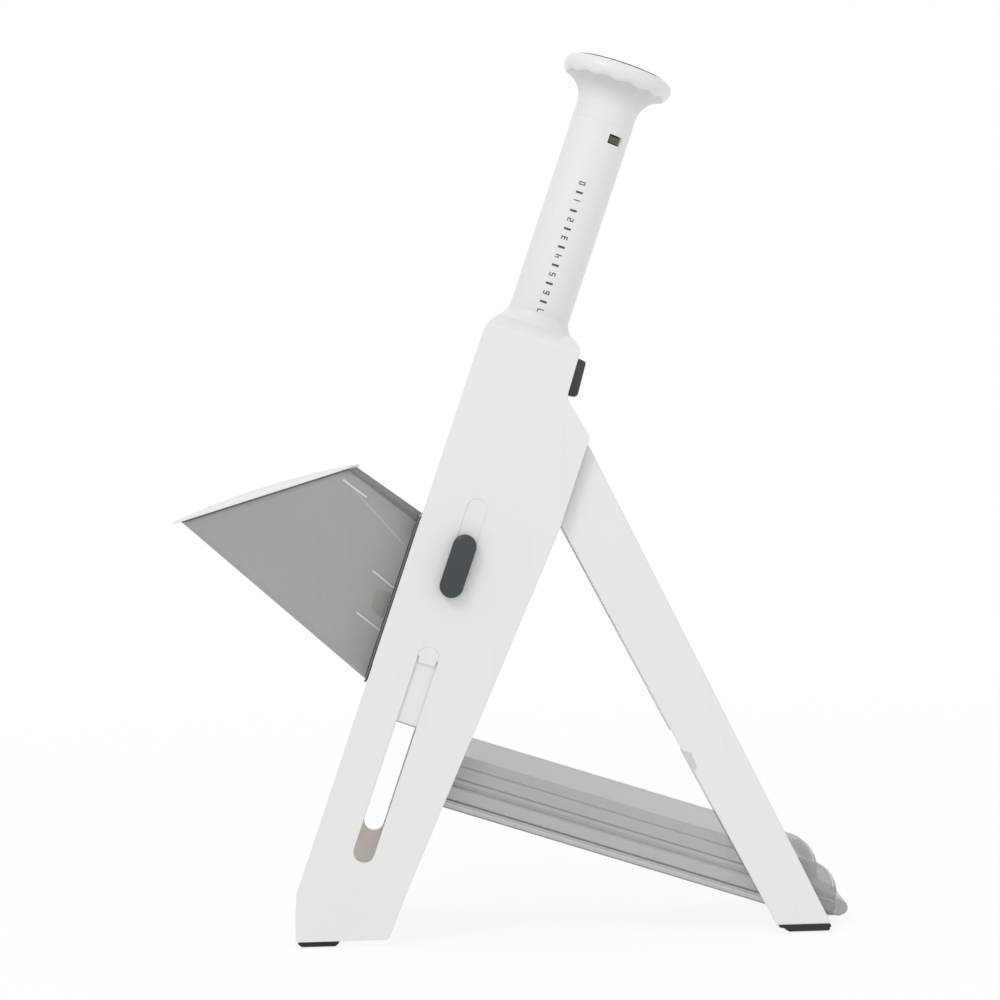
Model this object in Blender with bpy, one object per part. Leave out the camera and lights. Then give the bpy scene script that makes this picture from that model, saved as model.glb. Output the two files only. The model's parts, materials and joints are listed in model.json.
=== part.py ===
"""Upright vegetable dicer: leaning body, press handle with blade carriage, food chute, tray and stand.

Sizes are in millimetres until a mesh is made. The body is drawn upright in its own frame, with x
towards the rear, y across and z up the handle's axis, and is then leaned back by LEAN_DEG.
"""
import math

import bmesh
import bpy
from mathutils import Matrix, Vector

MM = 0.001
GAP = 0.3                     # clearance between faces that would touch

# ---- driving dimensions -------------------------------------------------------------------
ORIGIN_X = -84.15             # where the handle's axis meets the table, from the part's origin
LEAN_DEG = 20.0               # lean of the body and handle from the vertical
WIDTH = 106.0                 # over the two side panels
PANEL_T = 3.0
FRONT_U = -21.3               # front edge of the side panels
HEAD_REAR_U = 22.3
HEAD_TOP_W = 289.6
PANEL_IN = WIDTH / 2 - PANEL_T

STROKE = 89.4                 # travel of the handle
SLOT_U = 1.1
SLOT_R = 4.7
SLOT_TOP_W = 134.8
SLOT_LOW_W = SLOT_TOP_W - STROKE - 0.9

KNOB_U = 0.9                  # chute latch knob
KNOB_R = 5.3
KNOB_LOW_W = 168.0
KNOB_HIGH_W = 186.2
KNOB_TRAVEL = 17.0
TRACK_TOP_W = 203.6
TRACK_R = 4.6

TUBE_R = 14.15                # handle tube
TUBE_WALL = 2.4
TUBE_LOW_W = 255.4
CAP_LOW_W = 390.0
CAP_RIM_R = 25.6
CAP_RIM_W = 409.0
CAP_TOP_W = 414.4

MOUTH_LOW_W = 116.0           # window in the front frame, where the chute feeds
MOUTH_TOP_W = 191.0
MOUTH_HALF = 38.0
CHUTE_HALF = 40.0
CHUTE_WALL = 2.0

STAND_U = 24.0                # stand hinge
STAND_W = 239.0
STAND_OPEN_DEG = 26.2         # lean of the open legs from the vertical
LEG_IN = 44.4                 # inner face of a leg from the middle plane
LEG_OUT = 47.7
HINGE_R = 2.5

ROD_U = 12.0                  # guide rods with the return springs
ROD_Y = 39.5
ROD_R = 1.5
SPRING_R = 2.7
SPRING_TURNS = 13

LOCK_U = 20.7                 # rocking stand lock
LOCK_W = 260.3

TRAY_U = 29.1                 # lower front corner of the tray's visible part, in the body's frame
TRAY_W = 72.7
TRAY_SLOPE_DEG = 18.45        # slope of the tray below the horizontal
TRAY_HALF = 43.2
TRAY_RIM_H = 24.8             # rim above the tray's own bottom

FOOT_H = 3.5                  # rear rubber feet
FRONT_FOOT_H = 2.2

LEAN = math.radians(LEAN_DEG)

# ---- materials: colour, roughness, metallic -------------------------------------------------
FINISHES = {
    "white_plastic": ((0.80, 0.80, 0.79), 0.32, 0.0),
    "smoke_plastic": ((0.33, 0.33, 0.31), 0.18, 0.0),
    "dark_plastic": ((0.055, 0.065, 0.075), 0.42, 0.0),
    "rubber": ((0.025, 0.027, 0.03), 0.75, 0.0),
    "steel": ((0.62, 0.62, 0.63), 0.25, 1.0),
    "grey_plastic": ((0.42, 0.41, 0.39), 0.45, 0.0),
}


def finish(name):
    material = bpy.data.materials.get(name)
    if material:
        return material
    colour, roughness, metallic = FINISHES[name]
    material = bpy.data.materials.new(name)
    material.use_nodes = True
    shader = material.node_tree.nodes["Principled BSDF"]
    shader.inputs["Base Color"].default_value = (*colour, 1.0)
    shader.inputs["Roughness"].default_value = roughness
    shader.inputs["Metallic"].default_value = metallic
    material.diffuse_color = (*colour, 1.0)
    return material


def clear_scene():
    for obj in list(bpy.data.objects):
        bpy.data.objects.remove(obj, do_unlink=True)


def empty(name, place, turn_y=0.0, parent=None):
    """A frame at place (mm), turned about y, under parent."""
    obj = bpy.data.objects.new(name, None)
    bpy.context.collection.objects.link(obj)
    obj.parent = parent
    obj.location = Vector(place) * MM
    obj.rotation_euler = (0.0, turn_y, 0.0)
    return obj


def add_object(name, bm, look, parent, smooth_deg=None):
    """Make an object from a bmesh in mm, given in the parent's frame."""
    bmesh.ops.recalc_face_normals(bm, faces=bm.faces)
    bmesh.ops.scale(bm, vec=(MM, MM, MM), verts=bm.verts)
    mesh = bpy.data.meshes.new(name)
    bm.to_mesh(mesh)
    bm.free()
    obj = bpy.data.objects.new(name, mesh)
    bpy.context.collection.objects.link(obj)
    obj.parent = parent
    mesh.materials.append(finish(look))
    if smooth_deg:
        mesh.shade_smooth()
        mesh.set_sharp_from_angle(angle=math.radians(smooth_deg))
    return obj


# ---- shapes -----------------------------------------------------------------------------------
def prism_bm(outline, y0, y1):
    """Extrude an outline in x and z from y0 to y1."""
    bm = bmesh.new()
    verts = [bm.verts.new((x, y0, z)) for x, z in outline]
    face = bm.faces.new(verts)
    grown = bmesh.ops.extrude_face_region(bm, geom=[face])
    top = [item for item in grown["geom"] if isinstance(item, bmesh.types.BMVert)]
    bmesh.ops.translate(bm, vec=(0.0, y1 - y0, 0.0), verts=top)
    return bm


def box_bm(x, y, z):
    return prism_bm([(x[0], z[0]), (x[1], z[0]), (x[1], z[1]), (x[0], z[1])], y[0], y[1])


def rounded(corners, steps=4):
    """Outline with each corner (x, z, radius) turned into an arc."""
    points = []
    count = len(corners)
    for index, (x, z, radius) in enumerate(corners):
        here = Vector((x, z))
        before = Vector(corners[index - 1][:2]) - here
        after = Vector(corners[(index + 1) % count][:2]) - here
        if radius <= 0.0:
            points.append((x, z))
            continue
        half = before.angle(after) / 2
        reach = radius / math.tan(half)
        start = here + before.normalized() * reach
        end = here + after.normalized() * reach
        middle = here + (before.normalized() + after.normalized()).normalized() * radius / math.sin(half)
        first = math.atan2(start.y - middle.y, start.x - middle.x)
        sweep = math.atan2(end.y - middle.y, end.x - middle.x) - first
        sweep = (sweep + math.pi) % (2 * math.pi) - math.pi
        for step in range(steps + 1):
            angle = first + sweep * step / steps
            points.append((middle.x + radius * math.cos(angle), middle.y + radius * math.sin(angle)))
    return points


def capsule(x, z_low, z_high, radius, steps=8):
    """Upright slot outline with round ends centred at z_low and z_high."""
    points = []
    for step in range(steps + 1):
        angle = math.pi * step / steps
        points.append((x + radius * math.cos(angle), z_high + radius * math.sin(angle)))
    for step in range(steps + 1):
        angle = math.pi + math.pi * step / steps
        points.append((x + radius * math.cos(angle), z_low + radius * math.sin(angle)))
    return points


def circle(x, z, radius, steps=24):
    turn = 2 * math.pi / steps
    return [(x + radius * math.cos(turn * i), z + radius * math.sin(turn * i)) for i in range(steps)]


def turned_bm(profile, steps=32, place=(0.0, 0.0)):
    """Solid turned about the z axis from a closed profile of (radius, z)."""
    bm = bmesh.new()
    rings = []
    for radius, z in profile:
        if radius < 1e-6:
            rings.append([bm.verts.new((place[0], place[1], z))])
            continue
        ring = []
        for step in range(steps):
            angle = 2 * math.pi * step / steps
            ring.append(bm.verts.new((place[0] + radius * math.cos(angle),
                                      place[1] + radius * math.sin(angle), z)))
        rings.append(ring)
    for index, ring in enumerate(rings):
        other = rings[(index + 1) % len(rings)]
        if len(ring) == 1 and len(other) == 1:
            continue
        for step in range(steps):
            after = (step + 1) % steps
            if len(ring) == 1:
                bm.faces.new((ring[0], other[step], other[after]))
            elif len(other) == 1:
                bm.faces.new((ring[step], other[0], ring[after]))
            else:
                bm.faces.new((ring[step], other[step], other[after], ring[after]))
    return bm


def coil_bm(radius, wire, z0, z1, turns, place, steps=12, sides=5):
    """Round-wire helix with capped ends."""
    bm = bmesh.new()
    count = turns * steps
    rings = []
    for index in range(count + 1):
        angle = 2 * math.pi * index / steps
        out = Vector((math.cos(angle), math.sin(angle), 0.0))
        centre = Vector((*place, z0 + (z1 - z0) * index / count)) + out * radius
        ring = []
        for side in range(sides):
            tilt = 2 * math.pi * side / sides
            ring.append(bm.verts.new(centre + (out * math.cos(tilt) + Vector((0, 0, math.sin(tilt)))) * wire))
        rings.append(ring)
    for low, high in zip(rings, rings[1:]):
        for side in range(sides):
            after = (side + 1) % sides
            bm.faces.new((low[side], low[after], high[after], high[side]))
    bm.faces.new(rings[0])
    bm.faces.new(rings[-1])
    return bm


def join_bm(*parts):
    """One bmesh holding separate closed shells."""
    joined = bmesh.new()
    for part in parts:
        mesh = bpy.data.meshes.new("piece")
        part.to_mesh(mesh)
        part.free()
        joined.from_mesh(mesh)
        bpy.data.meshes.remove(mesh)
    return joined


def mirror_bm(bm):
    bmesh.ops.transform(bm, matrix=Matrix.Scale(-1.0, 4, (0.0, 1.0, 0.0)), verts=bm.verts)
    return bm


def cut(obj, bm, operation="DIFFERENCE"):
    """Boolean obj with a hidden helper made from bm, in the same parent's frame."""
    name = obj.name + "_tool_" + str(len(obj.modifiers))
    tool = add_object(name, bm, "grey_plastic", obj.parent)
    tool.hide_render = True
    tool.display_type = "WIRE"
    step = obj.modifiers.new(name, "BOOLEAN")
    step.object = tool
    step.operation = operation
    step.solver = "EXACT"


def soften(obj, width, segments=2, limit_deg=50.0):
    step = obj.modifiers.new("soften", "BEVEL")
    step.width = width * MM
    step.segments = segments
    step.limit_method = "ANGLE"
    step.angle_limit = math.radians(limit_deg)
    step.harden_normals = False


def sided(side, bm):
    """side is -1 for the left (near, -y) part, +1 for the right one; bm is drawn at +y."""
    return bm if side > 0 else mirror_bm(bm)


SIDES = {"left": -1, "right": 1}


# ---- body --------------------------------------------------------------------------------------
HEAD_CORNERS = [(FRONT_U + 0.4, 287.0, 6.0), (-18.6, HEAD_TOP_W, 2.0), (18.4, HEAD_TOP_W, 2.5),
                (HEAD_REAR_U, 281.8, 3.0)]


def panel_outline():
    return rounded([
        *HEAD_CORNERS, (23.1, 262.4, 6.0), (38.2, 249.3, 3.0), (38.3, 207.2, 8.0), (31.0, 118.1, 0.0),
        (24.6, 33.0, 0.0), (24.0, 25.2, 0.0), (-19.9, 9.2, 0.0), (FRONT_U, 17.5, 3.0)])


def make_side_panels(body):
    for name, side in SIDES.items():
        panel = add_object("side_panel_" + name, sided(side, prism_bm(panel_outline(), PANEL_IN, WIDTH / 2)),
                           "white_plastic", body)
        cut(panel, sided(side, prism_bm(capsule(SLOT_U, SLOT_LOW_W, SLOT_TOP_W, SLOT_R), 45.0, 60.0)))
        track = prism_bm(capsule(KNOB_U, KNOB_LOW_W, TRACK_TOP_W, TRACK_R), WIDTH / 2 - 1.2, 60.0)
        cut(panel, sided(side, track))
        stem = prism_bm(capsule(KNOB_U, KNOB_LOW_W + 2, KNOB_LOW_W + 2 + KNOB_TRAVEL, 2.6, 6), 45.0, 60.0)
        cut(panel, sided(side, stem))


def make_head(body):
    half = PANEL_IN - GAP
    outline = rounded([(FRONT_U, 266.0, 0.0), *HEAD_CORNERS, (HEAD_REAR_U - 0.3, 266.0, 0.0)])
    head = add_object("head_housing", prism_bm(outline, -half, half), "white_plastic", body)
    cut(head, box_bm((-18.3, 18.9), (-46.0, 46.0), (260.0, 283.0)))
    cut(head, turned_bm([(0, 266.0), (16.6, 266.0), (16.6, 284.0), (0, 284.0)], 40), "UNION")
    cut(head, turned_bm([(0, 260.0), (14.6, 260.0), (14.6, 300.0), (0, 300.0)], 40))
    cut(head, box_bm((16.9, 30.0), (-13.0, 13.0), (262.0, 283.0)))
    bush = [(14.5, 288.4), (14.5, 295.2), (15.2, 295.2), (17.9, 291.2), (17.9, 288.4)]
    cut(head, turned_bm([(0, 288.1), (18.2, 288.1), (18.2, 295.0), (0, 295.0)], 40))
    add_object("handle_bush", turned_bm(bush, 40), "white_plastic", body, 35)


def make_front_frame(body):
    half = PANEL_IN - GAP
    frame = add_object("front_frame", box_bm((FRONT_U, -18.5), (-half, half), (22.0, 265.7)),
                       "white_plastic", body)
    cut(frame, box_bm((-30.0, -10.0), (-MOUTH_HALF, MOUTH_HALF), (MOUTH_LOW_W, MOUTH_TOP_W)))
    for side in SIDES.values():
        cut(frame, sided(side, box_bm((-30.0, -10.0), (47.8, 55.0), (156.5, 169.5))))


def make_base(body):
    """Full-width shoe: level below, with a pocket for the lowered carriage and the folded legs."""
    world = empty("table_frame", (ORIGIN_X, 0.0, 0.0))
    half = WIDTH / 2
    outline = [(-14.9, FRONT_FOOT_H + 0.3), (26.0, FRONT_FOOT_H + 0.3), (31.0, 14.5), (-14.9, 14.5)]
    shoe = add_object("base_shoe", prism_bm(outline, -half, half), "white_plastic", world)
    cut(shoe, prism_bm([(-12.4, 6.0), (50.0, 6.0), (50.0, 30.0), (-12.4, 30.0)], -49.7, 49.7))
    for name, side in SIDES.items():
        pad = rounded([(-14.2, FRONT_FOOT_H, 0.0), (4.0, FRONT_FOOT_H, 0.0), (2.6, 0.0, 1.0), (-12.8, 0.0, 1.0)], 2)
        add_object("front_foot_" + name, sided(side, prism_bm(pad, 36.0, 51.0)), "rubber", world)
    shelf = add_object("tray_shelf", box_bm((17.0, 22.6), (-PANEL_IN + GAP, PANEL_IN - GAP), (66.5, 70.3)),
                       "white_plastic", body)
    soften(shelf, 0.8, 1)


def make_rods_and_pins(body):
    for name, side in SIDES.items():
        rod = turned_bm([(0, 13.6), (ROD_R, 13.6), (ROD_R, 282.7), (0, 282.7)], 12, (ROD_U, side * ROD_Y))
        add_object("guide_rod_" + name, rod, "steel", body, 35)
    hinge = add_object("stand_hinge_rod", prism_bm(circle(STAND_U, STAND_W, HINGE_R, 16), -49.6, 49.6),
                       "steel", body, 35)
    hinge.data.shade_smooth()
    hinge.data.set_sharp_from_angle(angle=math.radians(35))
    add_object("lock_pin", prism_bm(circle(LOCK_U, LOCK_W, 1.2, 12), -49.6, 49.6), "steel", body, 35)
    for number, (u, w) in enumerate(((-10.0, 274.0), (12.0, 274.0), (-11.0, 34.0), (30.0, 214.0)), 1):
        head = turned_bm([(0, 0.0), (2.9, 0.0), (2.4, 1.0), (0, 1.0)], 14)
        bmesh.ops.rotate(head, matrix=Matrix.Rotation(-math.pi / 2, 3, "X"), verts=head.verts)
        bmesh.ops.translate(head, vec=(u, WIDTH / 2 + GAP, w), verts=head.verts)
        add_object("panel_screw_" + str(number), head, "steel", body)


# ---- handle and blade carriage -----------------------------------------------------------------
def make_handle(handle):
    inner = TUBE_R - TUBE_WALL
    tube = add_object("handle_tube", turned_bm([
        (inner, TUBE_LOW_W), (inner, CAP_LOW_W + 5), (TUBE_R, CAP_LOW_W + 5), (TUBE_R, TUBE_LOW_W)], 40),
        "white_plastic", handle, 35)
    window = box_bm((-3.15, 3.15), (-20.0, -8.0), (379.3, 383.5))
    bmesh.ops.rotate(window, matrix=Matrix.Rotation(math.radians(34.6), 3, "Z"), verts=window.verts)
    cut(tube, window)
    catch = box_bm((-2.6, 2.6), (-13.0, -11.0), (379.8, 383.0))
    bmesh.ops.rotate(catch, matrix=Matrix.Rotation(math.radians(34.6), 3, "Z"), verts=catch.verts)
    add_object("cap_catch", catch, "dark_plastic", handle)
    plug = inner - GAP
    cap = [(0, 385.0), (plug, 385.0), (plug, CAP_LOW_W + 5 + GAP), (TUBE_R, CAP_LOW_W + 5 + GAP)]
    for step in range(9):
        share = step / 8
        radius = TUBE_R + (CAP_RIM_R - 1.4 - TUBE_R) * (1 - math.cos(share * math.pi / 2)) ** 0.9
        cap.append((radius, CAP_LOW_W + 5.6 + (CAP_RIM_W - CAP_LOW_W - 8.2) * share ** 0.75))
    cap += [(CAP_RIM_R, CAP_RIM_W - 1.2), (CAP_RIM_R, CAP_RIM_W + 0.8), (CAP_RIM_R - 1.0, CAP_RIM_W + 2.0)]
    cap += [(22.6, CAP_TOP_W - 2.4), (22.6, CAP_TOP_W - 3.4), (0, CAP_TOP_W - 3.4)]
    add_object("handle_cap", turned_bm(cap, 40), "white_plastic", handle, 40)
    pad_low = CAP_TOP_W - 3.4 + GAP
    pad = [(0, pad_low), (22.2, pad_low), (22.2, CAP_TOP_W - 1.8), (16.0, CAP_TOP_W - 0.8), (0, CAP_TOP_W)]
    add_object("cap_pad", turned_bm(pad, 40), "dark_plastic", handle, 40)
    bumper = [(14.5, 264.3), (16.2, 264.3), (16.2, 265.3), (14.5, 265.3)]
    add_object("rest_bumper", turned_bm(bumper, 24), "rubber", handle, 35)


def make_carriage(handle):
    inner = 44.4
    yoke = add_object("carriage_head", box_bm((-17.3, -8.0), (-inner, inner), (252.0, 264.0)),
                      "white_plastic", handle)
    cut(yoke, turned_bm([(0, 252.0), (16.4, 252.0), (16.4, 264.0), (0, 264.0)], 32), "UNION")
    cut(yoke, turned_bm([(0, 255.1), (TUBE_R + GAP, 255.1), (TUBE_R + GAP, 270.0), (0, 270.0)], 32))
    outline = rounded([(-17.3, 103.0, 2.0), (7.0, 103.0, 2.0), (7.0, 262.0, 3.0), (-17.3, 262.0, 3.0)], 2)
    for name, side in SIDES.items():
        plate = add_object("carriage_side_" + name, sided(side, prism_bm(outline, 44.7, 47.9)),
                           "white_plastic", handle)
        cut(plate, sided(side, prism_bm(circle(SLOT_U, SLOT_TOP_W, 2.3, 12), 40.0, 50.0)))
        pin = prism_bm(circle(SLOT_U, SLOT_TOP_W, 2.0, 12), 45.0, 48.3)
        roller = prism_bm(circle(SLOT_U, SLOT_TOP_W, SLOT_R - 0.4, 20), 48.2, 52.4)
        guide = add_object("guide_pin_" + name, sided(side, pin), "white_plastic", handle, 35)
        cut(guide, sided(side, roller), "UNION")
    outline = [(-44.4, 103.6), (44.4, 103.6), (44.4, 201.0), (-44.4, 190.0)]
    add_object("landing_plate", flat_plate(outline, -13.5, -11.5), "white_plastic", handle)
    outline = [(-44.4, 204.0), (44.4, 215.0), (44.4, 251.7), (-44.4, 251.7)]
    add_object("shield_plate", flat_plate(outline, -16.0, -14.0), "white_plastic", handle)
    blade = flat_plate([(-44.4, 193.5), (44.4, 204.5), (44.4, 216.0), (-44.4, 216.0)], -17.4, -16.3)
    add_object("main_blade", blade, "steel", handle)
    teeth = []
    for index in range(8):
        y = -35.0 + 10.0 * index
        foot = 176.0 + 0.124 * (y + 44.4)
        tooth = [(-14.0, foot), (-14.0, foot + 11.0), (-15.2, foot + 12.0), (-17.3, foot + 7.0)]
        teeth.append(prism_bm(tooth, y - 0.4, y + 0.4))
    strip = [(-40.0, 175.5), (40.0, 185.5), (40.0, 190.5), (-40.0, 180.5)]
    comb = add_object("dicing_blades", flat_plate(strip, -14.6, -13.8), "steel", handle)
    cut(comb, join_bm(*teeth), "UNION")
    bar = add_object("spring_bar", box_bm((2.0, 8.5), (-inner, inner), (205.0, 211.0)), "white_plastic", handle)
    cut(bar, box_bm((2.5, 16.0), (-42.7, 42.7), (205.0, 211.0)), "UNION")
    for side in SIDES.values():
        cut(bar, turned_bm([(0, 200.0), (1.9, 200.0), (1.9, 215.0), (0, 215.0)], 12, (ROD_U, side * ROD_Y)))
    for name, side in SIDES.items():
        coil = coil_bm(SPRING_R - 0.6, 0.5, 18.6, 204.0, SPRING_TURNS, (ROD_U, side * ROD_Y))
        add_object("return_spring_" + name, coil, "steel", handle, 60)


def flat_plate(outline, x0, x1):
    """Plate facing along x, from an outline in y and z."""
    bm = bmesh.new()
    low = [bm.verts.new((x0, y, z)) for y, z in outline]
    high = [bm.verts.new((x1, y, z)) for y, z in outline]
    bm.faces.new(low)
    bm.faces.new(high)
    for index in range(len(outline)):
        after = (index + 1) % len(outline)
        bm.faces.new((low[index], low[after], high[after], high[index]))
    return bm


# ---- chute and food pusher ---------------------------------------------------------------------
MOUTH_FRONT = Vector((-122.3, 156.1))
MOUTH_REAR = Vector((-58.6, 202.3))
CHUTE_TOP = Vector((-22.9, 191.8))
CHUTE_LOW = Vector((-22.9, 115.5))


def make_chute(chute):
    shell_outline = [MOUTH_FRONT, MOUTH_REAR, CHUTE_TOP, CHUTE_LOW]
    shell = add_object("chute_shell", prism_bm(shell_outline, -CHUTE_HALF, CHUTE_HALF), "smoke_plastic", chute)
    mouth = (MOUTH_REAR - MOUTH_FRONT).normalized() * CHUTE_WALL / 0.85
    along = (MOUTH_FRONT - CHUTE_LOW).normalized() * 9.0
    hollow = [MOUTH_FRONT + mouth + along, MOUTH_REAR - mouth + along, CHUTE_TOP + Vector((9.0, -5.7)),
              CHUTE_LOW + Vector((9.0, -1.3))]
    cut(shell, prism_bm(hollow, -CHUTE_HALF + CHUTE_WALL, CHUTE_HALF - CHUTE_WALL))
    flange = add_object("chute_flange", box_bm((-22.6, -21.6), (-49.4, 49.4), (115.4, 192.4)),
                        "dark_plastic", chute)
    cut(flange, box_bm((-30.0, -10.0), (-MOUTH_HALF, MOUTH_HALF), (MOUTH_LOW_W + 1.2, MOUTH_TOP_W - 0.6)))
    hook = [(-21.3, 157.2), (-11.2, 157.2), (-11.2, 166.0), (-14.2, 166.0), (-14.2, 160.4), (-21.3, 160.4)]
    for name, side in SIDES.items():
        add_object("chute_hook_" + name, sided(side, prism_bm(hook, 48.2, 49.6)), "dark_plastic", chute)


def make_pusher(pusher):
    lift = Vector((-0.587, 0.809))
    along = (MOUTH_REAR - MOUTH_FRONT).normalized()
    low = MOUTH_FRONT - along * 3.0 + lift * GAP
    high = MOUTH_REAR + along * 0.8 + lift * GAP
    span = (high - low).length
    lid = [low, high, high + lift * 1.6]
    for step in range(1, 8):
        share = step / 8
        lid.append(high + lift * (1.6 + 2.6 * math.sin(math.pi * share)) - along * span * share)
    lid.append(low + lift * 1.6)
    add_object("pusher_lid", prism_bm(lid, -CHUTE_HALF - 1.5, CHUTE_HALF + 1.5), "white_plastic", pusher)
    into = (CHUTE_LOW - MOUTH_FRONT).normalized()
    front = MOUTH_FRONT + along * 4.6
    rear = MOUTH_REAR - along * 5.0
    block = [front, rear, rear + into * 22.0, front + into * 60.0]
    plunger = add_object("pusher_block", prism_bm(block, -36.5, 36.5), "smoke_plastic", pusher)
    top_front = front - into * 5.0
    hollow = [top_front + along * 3.0, rear - along * 3.0 - into * 5.0, rear - along * 3.0 + into * 18.6,
              front + along * 3.0 + into * 56.0]
    cut(plunger, prism_bm(hollow, -34.3, 34.3))
    spikes = []
    face = (rear + into * 22.0) - (front + into * 60.0)
    for row in range(3):
        for column in range(4):
            foot = front + into * 60.4 + face * (0.2 + 0.3 * row)
            spike = turned_bm([(0, 0.0), (1.1, 0.0), (0, 7.5)], 8)
            angle = math.atan2(into.x, into.y)
            bmesh.ops.rotate(spike, matrix=Matrix.Rotation(angle, 3, "Y"), verts=spike.verts)
            bmesh.ops.translate(spike, vec=(foot.x + into.x * 0.9, -27.0 + 18.0 * column, foot.y + into.y * 0.9),
                                verts=spike.verts)
            spikes.append(spike)
    near = front + into * 60.4
    far = rear + into * 22.4
    plate = [near + face * 0.05, far - face * 0.05, far - face * 0.05 + into * 1.6, near + face * 0.05 + into * 1.6]
    holder = add_object("pusher_spikes", prism_bm(plate, -33.0, 33.0), "steel", pusher)
    cut(holder, join_bm(*spikes), "UNION")


# ---- chute latches -----------------------------------------------------------------------------
def make_latches(body):
    plate = rounded([
        (-17.6, 166.4, 0.0), (-15.0, 166.4, 0.0), (-15.0, 174.0, 0.0), (-4.0, 174.0, 0.0), (-4.0, 163.5, 0.0),
        (6.0, 163.5, 0.0), (6.0, 184.0, 2.0), (-17.6, 184.0, 2.0)])
    for name, side in SIDES.items():
        frame = empty("latch_frame_" + name, (0.0, 0.0, 0.0), 0.0, body)
        latch = add_object("latch_plate_" + name, sided(side, prism_bm(plate, 48.3, 49.6)), "white_plastic", frame)
        cut(latch, sided(side, prism_bm(circle(KNOB_U, KNOB_LOW_W + 2, 1.6, 10), 40.0, 55.0)))
        knob = add_object("latch_knob_" + name, sided(side, prism_bm(
            capsule(KNOB_U, KNOB_LOW_W, KNOB_HIGH_W, KNOB_R), WIDTH / 2 + GAP, WIDTH / 2 + 5.5)),
            "dark_plastic", frame)
        stem = prism_bm(circle(KNOB_U, KNOB_LOW_W + 2, 2.2, 10), 49.9, WIDTH / 2 + 1.0)
        cut(knob, sided(side, stem), "UNION")
        peg = prism_bm(circle(KNOB_U, KNOB_LOW_W + 2, 1.3, 10), 48.3, 51.0)
        cut(knob, sided(side, peg), "UNION")


# ---- stand lock --------------------------------------------------------------------------------
def make_lock(body):
    axis = empty("lock_axis", (LOCK_U, 0.0, LOCK_W), 0.0, body)
    shift = Vector((-LOCK_U, 0.0, -LOCK_W))
    button = prism_bm(rounded([(22.0, 282.3, 0.6), (27.2, 281.7, 1.0), (28.3, 265.4, 1.0), (24.1, 264.8, 0.6)], 2),
                      -11.0, 11.0)
    bmesh.ops.translate(button, vec=shift, verts=button.verts)
    add_object("lock_button", button, "dark_plastic", axis)
    lever = prism_bm([(19.2, 280.0), (21.5, 280.0), (23.2, 264.0), (23.2, 259.0), (29.0, 257.0), (29.0, 253.0),
                      (25.0, 253.0), (24.6, 255.2), (18.3, 256.0), (18.3, 262.0)], -9.0, 9.0)
    bmesh.ops.translate(lever, vec=shift, verts=lever.verts)
    lever = add_object("lock_lever", lever, "grey_plastic", axis)
    cut(lever, prism_bm(circle(0.0, 0.0, 1.45, 12), -20.0, 20.0))
    spring = coil_bm(1.5, 0.3, 0.0, 1.5, 3, (0.0, 0.0), 8, 4)
    bmesh.ops.rotate(spring, matrix=Matrix.Rotation(math.pi / 2, 3, "Y"), verts=spring.verts)
    bmesh.ops.translate(spring, vec=(17.2, 0.0, 276.0), verts=spring.verts)
    add_object("lock_spring", spring, "steel", body)


# ---- folding stand -----------------------------------------------------------------------------
def make_stand(body):
    axis = empty("stand_axis", (STAND_U, 0.0, STAND_W), 0.0, body)
    legs = empty("leg_frame", (0.0, 0.0, 0.0), -math.radians(STAND_OPEN_DEG + LEAN_DEG), axis)
    pivot_z = STAND_W * math.cos(LEAN) - STAND_U * math.sin(LEAN)
    tilt = math.radians(STAND_OPEN_DEG)

    def at_height(x, height):
        """Leg-frame z of a point x across the leg that lies at a height above the table."""
        return (height - pivot_z - x * math.sin(tilt)) / math.cos(tilt)

    sole = FOOT_H + GAP
    outline = [(14.5 * math.cos(a), 14.5 * math.sin(a)) for a in [math.pi * i / 8 for i in range(9)]]
    outline += [(-12.3, -36.0), (-11.5, -145.2), (-8.6, -147.6), (-9.4, -154.2), (-11.3, -156.0)]
    outline += [(-10.6, at_height(-10.6, sole)), (11.0, at_height(11.0, sole)), (15.2, -8.0)]
    for name, side in SIDES.items():
        leg = add_object("stand_leg_" + name, sided(side, prism_bm(outline, LEG_IN, LEG_OUT)),
                         "white_plastic", legs)
        cut(leg, sided(side, prism_bm(circle(0.0, 0.0, HINGE_R + 0.4, 16), 40.0, 52.0)))
        top_left = (-9.6, at_height(-9.6, FOOT_H))
        top_right = (10.2, at_height(10.2, FOOT_H))
        low_right = (8.6, at_height(8.6, 0.0))
        low_left = (-6.8, at_height(-6.8, 0.0))
        pad = prism_bm([top_left, top_right, low_right, low_left], LEG_IN - 0.6, LEG_OUT + 0.6)
        add_object("rear_foot_" + name, sided(side, pad), "rubber", legs)
    cross = add_object("stand_cross_plate", box_bm((8.2, 11.2), (-LEG_IN + GAP, LEG_IN - GAP), (-92.0, -34.0)),
                       "white_plastic", legs)
    soften(cross, 0.8, 1)
    tube = add_object("stand_hinge_tube", prism_bm(circle(0.0, 0.0, 5.5, 20), -LEG_IN + GAP, LEG_IN - GAP),
                      "white_plastic", axis, 35)
    cut(tube, box_bm((-3.0, 3.0), (-9.0, 9.0), (0.0, 11.5)), "UNION")
    cut(tube, prism_bm(circle(0.0, 0.0, HINGE_R + 0.4, 16), -60.0, 60.0))


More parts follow.
